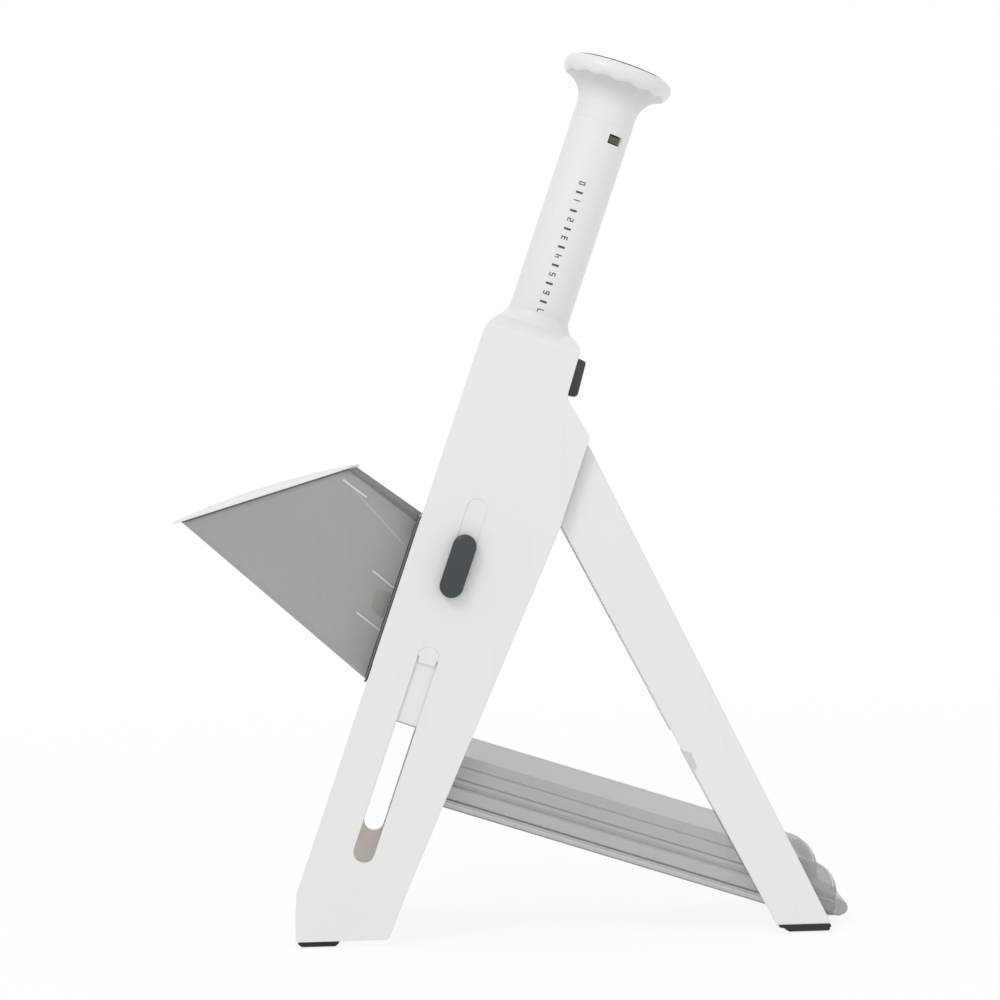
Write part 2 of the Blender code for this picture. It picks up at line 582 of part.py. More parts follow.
# ---- tray --------------------------------------------------------------------------------------
def make_tray():
    x = ORIGIN_X + TRAY_U * math.cos(LEAN) + TRAY_W * math.sin(LEAN)
    z = TRAY_W * math.cos(LEAN) - TRAY_U * math.sin(LEAN)
    tray = empty("tray_frame", (x, 0.0, z), math.radians(TRAY_SLOPE_DEG))
    outline = rounded([
        (-9.5, 0.0, 1.5), (180.5, 0.3, 2.5), (178.6, 8.0, 4.0), (174.6, 16.2, 6.0), (168.2, TRAY_RIM_H, 0.0),
        (-11.0, TRAY_RIM_H, 0.0)], 3)
    body = add_object("tray_body", prism_bm(outline, -TRAY_HALF, TRAY_HALF), "smoke_plastic", tray)
    tab = rounded([(176.0, 0.6, 0.0), (185.0, 0.8, 2.0), (189.3, 6.0, 3.0), (187.2, 9.4, 2.0), (174.0, 13.6, 0.0)], 3)
    cut(body, prism_bm(tab, -22.0, 22.0), "UNION")
    hollow = rounded([(-7.5, 2.0, 2.0), (176.0, 2.0, 5.0), (172.6, 15.0, 6.0), (162.8, 30.0, 0.0), (-9.0, 30.0, 0.0)])
    cut(body, prism_bm(hollow, -TRAY_HALF + 2.0, TRAY_HALF - 2.0))


def main():
    clear_scene()
    body = empty("body_frame", (ORIGIN_X, 0.0, 0.0), LEAN)
    handle = empty("handle_axis", (0.0, 0.0, 0.0), 0.0, body)
    chute = empty("chute_slide", (0.0, 0.0, 0.0), 0.0, body)
    pusher = empty("pusher_slide", (0.0, 0.0, 0.0), 0.0, chute)
    make_side_panels(body)
    make_head(body)
    make_front_frame(body)
    make_base(body)
    make_rods_and_pins(body)
    make_handle(handle)
    make_carriage(handle)
    make_chute(chute)
    make_pusher(pusher)
    make_latches(body)
    make_lock(body)
    make_stand(body)
    make_tray()


main()
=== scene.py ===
"""Looks of the upright vegetable dicer: studio, camera, materials and fine meshes around the CAD frame.

Shapes are drawn in millimetres in the body's own frame: u towards the rear, y across, w up the
handle's axis. The frame leans back by LEAN about the point where the handle's axis meets the table.
Pieces that come in pairs are drawn on the +y side and mirrored.
"""

import json
import math

import bmesh
import bpy
from mathutils import Matrix, Vector


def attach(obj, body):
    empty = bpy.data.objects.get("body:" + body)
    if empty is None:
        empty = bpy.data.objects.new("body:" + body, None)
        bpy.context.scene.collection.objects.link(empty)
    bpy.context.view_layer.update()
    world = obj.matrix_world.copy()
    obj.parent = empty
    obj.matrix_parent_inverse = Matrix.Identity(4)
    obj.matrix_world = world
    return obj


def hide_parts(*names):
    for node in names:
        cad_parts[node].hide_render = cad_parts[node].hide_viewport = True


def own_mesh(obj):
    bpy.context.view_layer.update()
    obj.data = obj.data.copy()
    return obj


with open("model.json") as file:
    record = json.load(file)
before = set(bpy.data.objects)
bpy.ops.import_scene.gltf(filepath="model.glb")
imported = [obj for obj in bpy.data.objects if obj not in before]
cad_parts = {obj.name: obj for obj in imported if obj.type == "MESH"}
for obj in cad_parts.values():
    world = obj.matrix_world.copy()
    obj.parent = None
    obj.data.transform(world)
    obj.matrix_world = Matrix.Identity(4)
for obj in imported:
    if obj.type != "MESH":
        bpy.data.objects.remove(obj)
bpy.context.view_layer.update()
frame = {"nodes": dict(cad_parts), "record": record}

# ---- driving dimensions, in millimetres --------------------------------------------------------
MM = 0.001
LEAN = math.radians(20.0)
FOOT_X = -84.15                # where the handle's axis meets the table
FRONT_U = -21.3
HALF_WIDTH = 53.0
PANEL_T = 3.0
PANEL_IN = HALF_WIDTH - PANEL_T
HAIRLINE = 0.04                # seam between neighbouring shells
HEAD_TOP_W = 289.6
HEAD_REAR_U = 22.3
STROKE = 89.4

SLOT_U, SLOT_R, SLOT_LOW_W, SLOT_TOP_W = 1.1, 4.7, 44.5, 134.8
KNOB_U, KNOB_R, KNOB_LOW_W, KNOB_HIGH_W = 0.9, 5.3, 168.0, 186.2
TRACK_TOP_W, TRACK_R, TRACK_DEPTH = 203.6, 4.6, 0.35
STEM_W, STEM_R, KNOB_TRAVEL = KNOB_LOW_W + 2.0, 2.2, 17.0
THROUGH = (45.0, 60.0)         # across range of a cut right through a side shell

TUBE_R, TUBE_WALL, TUBE_LOW_W, TUBE_TOP_W = 14.15, 2.4, 255.4, 388.0
CAP_RIM_R, CAP_RIM_W, CAP_TOP_W = 25.6, 410.4, 414.6

STAND_LEAN = math.radians(26.2)
STAND_U, STAND_W = 24.0, 239.0
LEG_IN, LEG_OUT = 44.4, 47.7
TRAY_SLOPE = math.radians(18.45)
TRAY_U, TRAY_W = 29.1, 72.7
TRAY_HALF, TRAY_RIM_H = 43.2, 24.8

CHUTE_HALF, CHUTE_WALL = 40.0, 2.0
MOUTH_FRONT = Vector((-122.3, 156.1))
MOUTH_REAR = Vector((-58.6, 202.3))
CHUTE_TOP = Vector((-22.9, 191.8))
CHUTE_LOW = Vector((-22.9, 115.5))
CHUTE_OUT = Vector((-0.587, 0.809))    # the way out, square to the mouth


# ---- frames ------------------------------------------------------------------------------------
def frame_matrix(x, z, turn):
    """Millimetre frame at x, z, turned about y, as a matrix to metres in the row frame."""
    return Matrix.Scale(MM, 4) @ Matrix.Translation((x, 0.0, z)) @ Matrix.Rotation(turn, 4, "Y")


TABLE = frame_matrix(FOOT_X, 0.0, 0.0)
BODY = frame_matrix(FOOT_X, 0.0, LEAN)
LEG = BODY @ Matrix.Translation((STAND_U, 0.0, STAND_W)) @ Matrix.Rotation(-STAND_LEAN - LEAN, 4, "Y")
TRAY = BODY @ Matrix.Translation((TRAY_U, 0.0, TRAY_W)) @ Matrix.Rotation(TRAY_SLOPE - LEAN, 4, "Y")


# ---- materials ---------------------------------------------------------------------------------
CLOUD_SCALE, GLOSS_SCALE, FLOW_SCALE = 9.0, 60.0, 38.0             # noise scales of moulded plastic
SCUFF_SCALE, SPECK_SCALE, GRAIN_SCALE = 240.0, 900.0, 2600.0
SPECK_TINT, FADE_TINT = 0.8, 0.84


class Nodes:
    """Small helper that adds and links the nodes of one material."""

    def __init__(self, name):
        self.material = bpy.data.materials.new(name)
        self.material.use_nodes = True
        self.tree = self.material.node_tree
        self.shader = self.tree.nodes["Principled BSDF"]

    def add(self, kind, **settings):
        node = self.tree.nodes.new(kind)
        for key, value in settings.items():
            if key in node.inputs:
                node.inputs[key].default_value = value
            else:
                setattr(node, key, value)
        return node

    def link(self, source, target):
        self.tree.links.new(source, target)

    def place(self, scale=(1.0, 1.0, 1.0)):
        """Coordinates fixed to the piece, stretched by scale."""
        coords = self.add("ShaderNodeTexCoord")
        mapping = self.add("ShaderNodeMapping", Scale=scale)
        self.link(coords.outputs["Object"], mapping.inputs["Vector"])
        return mapping.outputs["Vector"]

    def noise(self, scale, detail=4.0, roughness=0.55, stretch=(1.0, 1.0, 1.0)):
        node = self.add("ShaderNodeTexNoise", Scale=scale, Detail=detail, Roughness=roughness)
        self.link(self.place(stretch), node.inputs["Vector"])
        return node.outputs["Fac"]

    def spread(self, value, low, high, start=0.3, end=0.7):
        """Map a value between start and end onto low to high."""
        node = self.add("ShaderNodeMapRange")
        node.inputs["From Min"].default_value = start
        node.inputs["From Max"].default_value = end
        node.inputs["To Min"].default_value = low
        node.inputs["To Max"].default_value = high
        self.link(value, node.inputs["Value"])
        return node.outputs["Result"]

    def mix(self, factor, low, high):
        node = self.add("ShaderNodeMix", data_type="RGBA")
        node.inputs[6].default_value = (*low, 1.0)
        node.inputs[7].default_value = (*high, 1.0)
        self.link(factor, node.inputs[0])
        return node.outputs[2]

    def shade(self, colour, factor, tint):
        """Lay tint over a linked colour by factor."""
        node = self.add("ShaderNodeMix", data_type="RGBA")
        self.link(colour, node.inputs[6])
        node.inputs[7].default_value = (*tint, 1.0)
        self.link(factor, node.inputs[0])
        return node.outputs[2]

    def bump(self, height, distance, strength=1.0, below=None):
        node = self.add("ShaderNodeBump", Distance=distance, Strength=strength)
        self.link(height, node.inputs["Height"])
        if below:
            self.link(below, node.inputs["Normal"])
        return node.outputs["Normal"]


def moulded(name, low, high, rough, grain=0.00002, specular=0.5, scuff_tint=0.94, fade=None):
    """Injection-moulded plastic: faint cloudiness, uneven gloss, fine grain, hairline scuffs and specks.

    fade is the two heights up the handle's axis, in millimetres, between which the colour darkens: painted
    shade, as under the cap's rim.
    """
    made = Nodes(name)
    cloud = made.spread(made.noise(CLOUD_SCALE, 3.0), 0.0, 1.0)
    colour = made.mix(cloud, low, high)
    scuff = made.spread(made.noise(SCUFF_SCALE, 3.0, 0.7, (1.0, 1.0, 0.05)), 0.0, 1.0, 0.62, 0.8)
    colour = made.shade(colour, made.spread(scuff, 0.0, 0.5, 0.0, 1.0), [part * scuff_tint for part in low])
    speck = made.spread(made.noise(SPECK_SCALE, 1.0, 0.5), 0.0, 0.35, 0.74, 0.8)
    colour = made.shade(colour, speck, [part * SPECK_TINT for part in low])
    if fade:
        along = made.add("ShaderNodeVectorMath", operation="DOT_PRODUCT")
        along.inputs[1].default_value = (math.sin(LEAN), 0.0, math.cos(LEAN))
        made.link(made.place(), along.inputs[0])
        ends = [(height + FOOT_X * math.sin(LEAN)) * MM for height in fade]
        share = made.spread(along.outputs["Value"], 0.0, 1.0, *ends)
        colour = made.shade(colour, share, [part * FADE_TINT for part in low])
    made.link(colour, made.shader.inputs["Base Color"])
    gloss = made.noise(GLOSS_SCALE, 5.0, 0.6)
    made.link(made.spread(gloss, rough[0], rough[1]), made.shader.inputs["Roughness"])
    fine = made.bump(made.noise(GRAIN_SCALE, 2.0), grain, 0.5)
    flow = made.bump(made.noise(FLOW_SCALE, 1.0), grain * 2.0, 0.25, fine)
    made.link(made.bump(scuff, grain * 0.6, 0.3, flow), made.shader.inputs["Normal"])
    made.shader.inputs["Specular IOR Level"].default_value = specular
    return made.material


def smoky(name, low, high, rough, alpha, specular=0.35):
    """Smoke-tinted clear plastic, with its see-through share on the alpha socket."""
    material = moulded(name, low, high, rough, 0.000010, specular)
    material.node_tree.nodes["Principled BSDF"].inputs["Alpha"].default_value = alpha
    return material


def brushed(name, low, high, stretch, rough=(0.2, 0.34)):
    """Ground steel with hairlines along one axis."""
    made = Nodes(name)
    lines = made.noise(420.0, 4.0, 0.65, stretch)
    made.link(made.mix(made.spread(lines, 0.0, 1.0), low, high), made.shader.inputs["Base Color"])
    made.link(made.spread(lines, rough[0], rough[1]), made.shader.inputs["Roughness"])
    made.link(made.bump(lines, 0.00001, 0.4), made.shader.inputs["Normal"])
    made.shader.inputs["Metallic"].default_value = 1.0
    return made.material


GRIP_TONES = (0.705, 0.708, 0.702), (0.73, 0.732, 0.725)

WHITE = moulded("white_plastic", (0.700, 0.705, 0.698), (0.728, 0.730, 0.722), (0.32, 0.42), 0.00002, 0.4)
WHITE_GRIP = moulded("white_grip_plastic", *GRIP_TONES, (0.24, 0.32), 0.000012, 0.4)
# Grip plastic with painted shade fading in up the cap's flare, where the rim's underside lies in shade.
SHADED_GRIP = moulded("shaded_grip_plastic", *GRIP_TONES, (0.3, 0.4), 0.000012, 0.3, fade=(396.0, 404.5))
# Brighter, warmer copy of the white plastic for the panels' inner faces: painted warm light on faces that
# lie in shade.
INNER_LIT_WHITE = moulded("painted_light_inner_white_plastic", (0.93, 0.87, 0.80), (0.96, 0.90, 0.83), (0.38, 0.5))
# Brighter copy of the white plastic for the legs' inner faces: painted light on faces that lie in shade
# between the legs.
LEG_INNER_LIT_WHITE = moulded("painted_light_leg_white_plastic", (0.84, 0.84, 0.835), (0.88, 0.88, 0.875), (0.34, 0.44))
SMOKE = smoky("smoke_plastic", (0.315, 0.315, 0.30), (0.35, 0.35, 0.335), (0.2, 0.3), 0.93)
# Darker smoke for the chute's top faces: painted shade on the top.
SMOKE_TOP_SHADE = smoky("smoke_top_painted_shade_plastic", (0.18, 0.18, 0.17), (0.21, 0.21, 0.20), (0.5, 0.65), 0.95, 0.08)
# Paler smoke for the strip along the chute's fold: a painted highlight.
SMOKE_CREASE_HIGHLIGHT = smoky("smoke_crease_painted_highlight_plastic", (0.38, 0.38, 0.365), (0.42, 0.42, 0.405), (0.2, 0.3), 0.93)
# Near-black smoke. On the chute's flange and on the lip under the lid, its darkness is painted shade of the
# gaps there. It also marks the tray's thick steps.
SMOKE_DARK = smoky("smoke_edge_plastic", (0.13, 0.13, 0.12), (0.16, 0.16, 0.15), (0.24, 0.34), 0.93)
SMOKE_SHADE = smoky("smoke_tab_plastic", (0.26, 0.26, 0.24), (0.29, 0.29, 0.27), (0.2, 0.3), 0.93)
# Paler smoke for the raised ribs on the chute's flanks: their paleness is a painted highlight.
SMOKE_RIB_HIGHLIGHT = smoky("smoke_rib_painted_highlight_plastic", (0.56, 0.56, 0.53), (0.62, 0.62, 0.59), (0.2, 0.3), 0.95)
SMOKE_TRAY = smoky("smoke_tray_plastic", (0.36, 0.36, 0.355), (0.40, 0.40, 0.395), (0.14, 0.22), 0.38)
SMOKE_TAB = smoky("smoke_grip_plastic", (0.34, 0.34, 0.335), (0.38, 0.38, 0.375), (0.14, 0.22), 0.75)
DARK = moulded("dark_plastic", (0.034, 0.043, 0.052), (0.042, 0.052, 0.060), (0.36, 0.50), 0.00004, 0.4)
CHARCOAL = moulded("charcoal_plastic", (0.05, 0.05, 0.05), (0.062, 0.062, 0.061), (0.4, 0.55), 0.00004, 0.4)
# Dark brown for the catch seen through the handle's window: painted shade of the deep window.
CATCH_SHADE = moulded("catch_painted_shade_plastic", (0.070, 0.062, 0.042), (0.105, 0.094, 0.066), (0.4, 0.5), 0.00003)
GREY = moulded("grey_plastic", (0.38, 0.37, 0.35), (0.43, 0.42, 0.40), (0.4, 0.52))
RUBBER = moulded("rubber", (0.016, 0.018, 0.020), (0.024, 0.026, 0.029), (0.62, 0.8), 0.00008, 0.35)
STEEL = brushed("steel", (0.52, 0.52, 0.53), (0.66, 0.66, 0.67), (1.0, 0.03, 1.0))
WIRE_STEEL = brushed("spring_steel", (0.40, 0.40, 0.41), (0.55, 0.55, 0.56), (1.0, 1.0, 1.0), (0.18, 0.3))
INK = moulded("print_ink", (0.050, 0.052, 0.055), (0.07, 0.07, 0.075), (0.5, 0.6))

SLOT_LOOKS = {"white_plastic": WHITE, "smoke_plastic": SMOKE, "dark_plastic": DARK,
              "grey_plastic": GREY, "rubber": RUBBER, "steel": STEEL}
# The chute's flange is a real part; its near-black colour is painted shade of the gap where the chute meets
# the body.
NODE_LOOKS = {"cap_catch": CATCH_SHADE, "chute_flange": SMOKE_DARK}


CAD_EDGE, WELD_GAP = 0.0003, 0.000005  # metres


def dress_cad():
    """Give each CAD node its material and a small round on its edges."""
    for row in frame["record"]["subparts"]:
        node = frame["nodes"][row["node"]]
        node.data.materials.clear()
        node.data.materials.append(NODE_LOOKS.get(row["node"], SLOT_LOOKS[row["material_slot"]]))
        weld = node.modifiers.new("weld", "WELD")
        weld.merge_threshold = WELD_GAP
        edge = node.modifiers.new("edge", "BEVEL")
        edge.width = CAD_EDGE
        edge.segments = 2
        edge.limit_method = "ANGLE"
        edge.angle_limit = math.radians(40.0)


# ---- studio, in metres -------------------------------------------------------------------------
SIDE_STRENGTH = 0.7            # of the surround, towards its two sides
FLOOR_R, FLOOR_DROP = 9.0, 0.0005
FLOOR_TONE = (0.93, 0.93, 0.93, 1.0)
FADE_START, FADE_END = 0.2, 1.2        # how far out the floor melts into the surround
CAMERA_PLACE = (-0.00625, -1.283, 0.2198)
CAMERA_ROLL = math.radians(-1.7)
LENS, LENS_SHIFT = 100.6, (0.008, -0.057)


def make_studio():
    """White surround, dimmer at the two sides, and a pale floor that fades into it."""
    world = bpy.data.worlds.new("studio")
    world.use_nodes = True
    tree = world.node_tree
    direction = tree.nodes.new("ShaderNodeTexCoord")
    parts = tree.nodes.new("ShaderNodeSeparateXYZ")
    aside = tree.nodes.new("ShaderNodeMath")
    aside.operation = "ABSOLUTE"
    strength = tree.nodes.new("ShaderNodeMapRange")
    strength.inputs["From Min"].default_value = 0.35
    strength.inputs["To Min"].default_value = 1.0
    strength.inputs["From Max"].default_value = 0.9
    strength.inputs["To Max"].default_value = SIDE_STRENGTH
    tree.links.new(direction.outputs["Generated"], parts.inputs[0])
    tree.links.new(parts.outputs["X"], aside.inputs[0])
    tree.links.new(aside.outputs[0], strength.inputs["Value"])
    tree.nodes["Background"].inputs["Color"].default_value = (1.0, 1.0, 1.0, 1.0)
    tree.links.new(strength.outputs["Result"], tree.nodes["Background"].inputs["Strength"])
    bpy.context.scene.world = world
    bpy.context.scene.view_settings.view_transform = "Standard"

    bm = bmesh.new()
    bmesh.ops.create_circle(bm, cap_ends=True, segments=96, radius=FLOOR_R)
    mesh = bpy.data.meshes.new("floor")
    bm.to_mesh(mesh)
    bm.free()
    floor = bpy.data.objects.new("floor", mesh)
    bpy.context.collection.objects.link(floor)
    floor.location.z = -FLOOR_DROP
    made = Nodes("floor")
    made.shader.inputs["Base Color"].default_value = FLOOR_TONE
    made.shader.inputs["Roughness"].default_value = 0.8
    glow = made.add("ShaderNodeEmission", Strength=1.0)
    glow.inputs["Color"].default_value = (1.0, 1.0, 1.0, 1.0)
    distance = made.add("ShaderNodeVectorMath", operation="LENGTH")
    made.link(made.place(), distance.inputs[0])
    share = made.spread(distance.outputs["Value"], 0.86, 1.0, FADE_START, FADE_END)
    blend = made.add("ShaderNodeMixShader")
    made.link(share, blend.inputs[0])
    made.link(made.shader.outputs[0], blend.inputs[1])
    made.link(glow.outputs[0], blend.inputs[2])
    made.link(blend.outputs[0], made.tree.nodes["Material Output"].inputs["Surface"])
    mesh.materials.append(made.material)

    add_light("key", (-0.8, -1.3, 1.6), 0.7, 9.5)
    add_light("fill", (1.3, -1.0, 0.6), 1.2, 1.0)


def add_light(name, place, size, power):
    """Round soft light, turned towards the object's middle."""
    lamp = bpy.data.lights.new(name, "AREA")
    lamp.shape = "DISK"
    lamp.size = size
    lamp.energy = power
    obj = bpy.data.objects.new(name, lamp)
    obj.location = place
    obj.rotation_euler = (Vector((0.0, 0.0, 0.2)) - Vector(place)).to_track_quat("-Z", "Y").to_euler()
    bpy.context.collection.objects.link(obj)


def make_camera():
    """Level side view, rolled slightly, with the object's own middle plane square to it."""
    data = bpy.data.cameras.new("camera")
    data.lens = LENS
    data.sensor_width = 36.0
    data.shift_x, data.shift_y = LENS_SHIFT
    camera = bpy.data.objects.new("camera", data)
    look = Matrix.Rotation(math.radians(90.0), 4, "X")
    roll = Matrix.Rotation(CAMERA_ROLL, 4, "Z")
    camera.matrix_world = Matrix.Translation(CAMERA_PLACE) @ look @ roll
    bpy.context.collection.objects.link(camera)
    bpy.context.scene.camera = camera


# ---- mesh helpers ------------------------------------------------------------------------------
def rounded(corners, steps=8):
    """Outline with each corner (x, z, radius) turned into an arc."""
    points = []
    count = len(corners)
    for index, (x, z, radius) in enumerate(corners):
        here = Vector((x, z))
        before = (Vector(corners[index - 1][:2]) - here).normalized()
        after = (Vector(corners[(index + 1) % count][:2]) - here).normalized()
        if radius <= 0.0:
            points.append((x, z))
            continue
        half = before.angle(after) / 2
        start = here + before * radius / math.tan(half)
        end = here + after * radius / math.tan(half)
        middle = here + (before + after).normalized() * radius / math.sin(half)
        first = math.atan2(start.y - middle.y, start.x - middle.x)
        sweep = math.atan2(end.y - middle.y, end.x - middle.x) - first
        sweep = (sweep + math.pi) % (2 * math.pi) - math.pi
        for step in range(steps + 1):
            angle = first + sweep * step / steps
            points.append((middle.x + radius * math.cos(angle), middle.y + radius * math.sin(angle)))
    return points


def capsule(x, z_low, z_high, radius, steps=20):
    """Upright slot outline with round ends centred at z_low and z_high."""
    turns = [math.pi * step / steps for step in range(steps + 1)]
    top = [(x + radius * math.cos(turn), z_high + radius * math.sin(turn)) for turn in turns]
    return top + [(x - radius * math.cos(turn), z_low - radius * math.sin(turn)) for turn in turns]


def circle(x, z, radius, steps=48):
    """Round outline centred at x, z."""
    turn = 2 * math.pi / steps
    return [(x + radius * math.cos(turn * i), z + radius * math.sin(turn * i)) for i in range(steps)]


def prism(outline, y0, y1, round0=0.0, round1=0.0, segments=4):
    """Extrude an outline in x and z from y0 to y1, with rounds along the rims of its two faces."""
    bm = bmesh.new()
    face = bm.faces.new([bm.verts.new((x, y0, z)) for x, z in outline])
    grown = bmesh.ops.extrude_face_region(bm, geom=[face])
    top = [item for item in grown["geom"] if isinstance(item, bmesh.types.BMVert)]
    bmesh.ops.translate(bm, vec=(0.0, y1 - y0, 0.0), verts=top)
    bmesh.ops.recalc_face_normals(bm, faces=bm.faces)
    for level, width in ((y0, round0), (y1, round1)):
        if width > 0.0:
            rim = [edge for edge in bm.edges if all(abs(vert.co.y - level) < 1e-4 for vert in edge.verts)]
            bmesh.ops.bevel(bm, geom=rim, offset=width, segments=segments, profile=0.5, affect="EDGES",
                            clamp_overlap=True)
    return bm


def box(x, y, z):
    """Block between the two ends given along each axis."""
    return prism([(x[0], z[0]), (x[1], z[0]), (x[1], z[1]), (x[0], z[1])], y[0], y[1])


def turned(profile, steps=96, place=(0.0, 0.0), wave=None):
    """Solid turned about the z axis from a closed profile of (radius, z).

    wave(radius, z, angle), where given, shifts the heights.
    """
    bm = bmesh.new()
    rings = []
    for radius, z in profile:
        if radius < 1e-6:
            rings.append([bm.verts.new((*place, z))])
            continue
        ring = []
        for step in range(steps):
            angle = 2 * math.pi * step / steps
            x, y = place[0] + radius * math.cos(angle), place[1] + radius * math.sin(angle)
            height = z + (wave(radius, z, angle) if wave else 0.0)
            ring.append(bm.verts.new((x, y, height)))
        rings.append(ring)
    for index, ring in enumerate(rings):
        other = rings[(index + 1) % len(rings)]
        for step in range(steps):
            after = (step + 1) % steps
            corners = [ring[step % len(ring)], other[step % len(other)], other[after % len(other)],
                       ring[after % len(ring)]]
            face = list(dict.fromkeys(corners))
            if len(face) > 2:
                bm.faces.new(face)
    bmesh.ops.recalc_face_normals(bm, faces=bm.faces)
    return bm


def coil(radius, wire, z0, z1, turns, place, steps=28, sides=10):
    """Round-wire helix whose turns lie closer together at its ends."""
    bm = bmesh.new()
    count = turns * steps
    rings = []
    for index in range(count + 1):
        angle = 2 * math.pi * index / steps
        share = index / count
        rise = share - math.sin(2 * math.pi * share) / (2 * math.pi) * 0.25
        out = Vector((math.cos(angle), math.sin(angle), 0.0))
        centre = Vector((*place, z0 + (z1 - z0) * rise)) + out * radius
        tilts = [2 * math.pi * side / sides for side in range(sides)]
        rings.append([bm.verts.new(centre + (out * math.cos(tilt) + Vector((0, 0, math.sin(tilt)))) * wire)
                      for tilt in tilts])
    bridge(bm, rings)
    bm.faces.new(rings[0])
    bm.faces.new(rings[-1])
    bmesh.ops.recalc_face_normals(bm, faces=bm.faces)
    return bm


def bridge(bm, rings):
    """Join neighbouring closed rings of equal length with quads."""
    for low, high in zip(rings, rings[1:]):
        for index in range(len(low)):
            after = (index + 1) % len(low)
            bm.faces.new((low[index], low[after], high[after], high[index]))


def loft_tube(outer, inner):
    """Open-ended shell between lists of outer and inner loops, with flat rims."""
    bm = bmesh.new()
    skins = [[[bm.verts.new(point) for point in loop] for loop in loops] for loops in (outer, inner)]
    for rings in skins:
        bridge(bm, rings)
    bridge(bm, [skins[0][0], skins[1][0]])
    bridge(bm, [skins[0][-1], skins[1][-1]])
    bmesh.ops.recalc_face_normals(bm, faces=bm.faces)
    return bm


def turned_by(bm, degrees):
    """The bmesh turned about the z axis."""
    bmesh.ops.rotate(bm, matrix=Matrix.Rotation(math.radians(degrees), 3, "Z"), verts=bm.verts)
    return bm


def mirrored(bm):
    """The bmesh mirrored to the other side of the object's middle plane."""
    bmesh.ops.transform(bm, matrix=Matrix.Scale(-1.0, 4, (0.0, 1.0, 0.0)), verts=bm.verts)
    bmesh.ops.reverse_faces(bm, faces=bm.faces)
    return bm


SIDES = {"left": -1, "right": 1}


def sided(side, bm):
    """The bmesh as drawn for the right side, or mirrored for the left one."""
    return bm if side > 0 else mirrored(bm)


def mesh_of(bm, name):
    """New mesh from the bmesh, which is freed."""
    mesh = bpy.data.meshes.new(name)
    bm.to_mesh(mesh)
    bm.free()
    return mesh


def add_object(name, mesh):
    obj = bpy.data.objects.new(name, mesh)
    bpy.context.collection.objects.link(obj)
    return obj


def carved(bm, cuts=(), joins=()):
    """bm with other shapes joined to it and then cut from it."""
    obj = add_object("work", mesh_of(bm, "work"))
    tools = []
    for operation, shapes in (("UNION", joins), ("DIFFERENCE", cuts)):
        for shape in shapes:
            tool = add_object("tool", mesh_of(shape, "tool"))
            step = obj.modifiers.new("carve", "BOOLEAN")
            step.object = tool
            step.operation = operation
            step.solver = "EXACT"
            tools.append(tool)
    bpy.context.view_layer.update()
    mesh = bpy.data.meshes.new_from_object(obj.evaluated_get(bpy.context.evaluated_depsgraph_get()))
    result = bmesh.new()
    result.from_mesh(mesh)
    bpy.data.meshes.remove(mesh)
    for item in [obj, *tools]:
        old = item.data
        bpy.data.objects.remove(item)
        bpy.data.meshes.remove(old)
    bmesh.ops.remove_doubles(result, verts=result.verts, dist=1e-4)
    bmesh.ops.dissolve_limit(result, angle_limit=math.radians(0.5), verts=result.verts, edges=result.edges)
    return result


def line_faces(obj, look, chosen):
    """Give the chosen faces of a piece a second material."""
    obj.data.materials.append(look)
    for face in obj.data.polygons:
        if chosen(face):
            face.material_index = len(obj.data.materials) - 1


def piece(name, bm, place, body, look, replaces=(), edge=0.0, sharp=40.0):
    """Finished piece from a millimetre bmesh: placed, dressed, riding on its body, in place of CAD nodes."""
    mesh = mesh_of(bm, name)
    mesh.transform(place)
    mesh.materials.append(look)
    mesh.shade_smooth()
    obj = add_object(name, mesh)
    if edge > 0.0:
        step = obj.modifiers.new("edge", "BEVEL")
        step.width = edge * MM
        step.segments = 2
        step.limit_method = "ANGLE"
        step.angle_limit = math.radians(sharp)
        obj.modifiers.new("normals", "WEIGHTED_NORMAL").keep_sharp = True
    else:
        mesh.set_sharp_from_angle(angle=math.radians(sharp))
    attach(obj, body)
    if replaces:
        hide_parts(*replaces)
    return obj


# ---- body --------------------------------------------------------------------------------------
HEAD_CORNERS = [(FRONT_U + 0.2, 281.5, 12.0), (-17.0, HEAD_TOP_W, 2.5), (17.6, HEAD_TOP_W, 1.5),
                (HEAD_REAR_U, 284.5, 3.0)]
CROWN_WIDE, CROWN_DROP = 34.0, 8.0             # how the head's top falls away towards each side
HEAD_LOW_W = 266.0                             # the head's lower edge
COLLAR_R, COLLAR_FLARE, COLLAR_RISE = 14.27, 4.1, 6.5  # top radius, widening and height
BORE_R = TUBE_R + 0.08
SHOE_FRONT, SHOE_REAR = -14.9, 26.0            # level shoe below the body, in the table's frame
SHOE_LOW, SHOE_TOP = 2.5, 14.5
SLIDER_LOW_W, SLIDER_HALF, SLIDER_OUT = 104.0, 6.4, 51.8  # plate behind each slot, on the carriage
SCREWS = ((-10.0, 274.0), (12.0, 274.0), (-11.0, 34.0), (30.0, 214.0))
SCREW_R, SCREW_RIM, SCREW_RISE = 2.9, 0.35, 0.85     # dome on a low straight rim
SPRING_LOW_W, SPRING_HIGH_W, SPRING_R, WIRE_R, SPRING_TURNS = 18.6, 204.0, 2.1, 0.5, 24
ROD_U, ROD_Y = 12.0, 39.5                      # the guide rods that carry the return springs


def from_table(x, z):
    """Body-frame point of a point in the table's frame."""
    return x * math.cos(LEAN) - z * math.sin(LEAN), x * math.sin(LEAN) + z * math.cos(LEAN)


def shoulder():
    """Cutter that lets the head's top fall away towards the +y side, in a quarter of an ellipse."""
    y, w = HALF_WIDTH - CROWN_WIDE, HEAD_TOP_W - CROWN_DROP
    beyond_y, beyond_w = HALF_WIDTH + 2.0, HEAD_TOP_W + 2.0
    turns = [math.pi / 2 * step / 24 for step in range(25)]
    arc = [(y + CROWN_WIDE * math.sin(turn), w + CROWN_DROP * math.cos(turn)) for turn in turns]
    cutter = prism([(y, beyond_w), *arc, (beyond_y, w), (beyond_y, beyond_w)], -40.0, 40.0)
    return turned_by(cutter, 90.0)


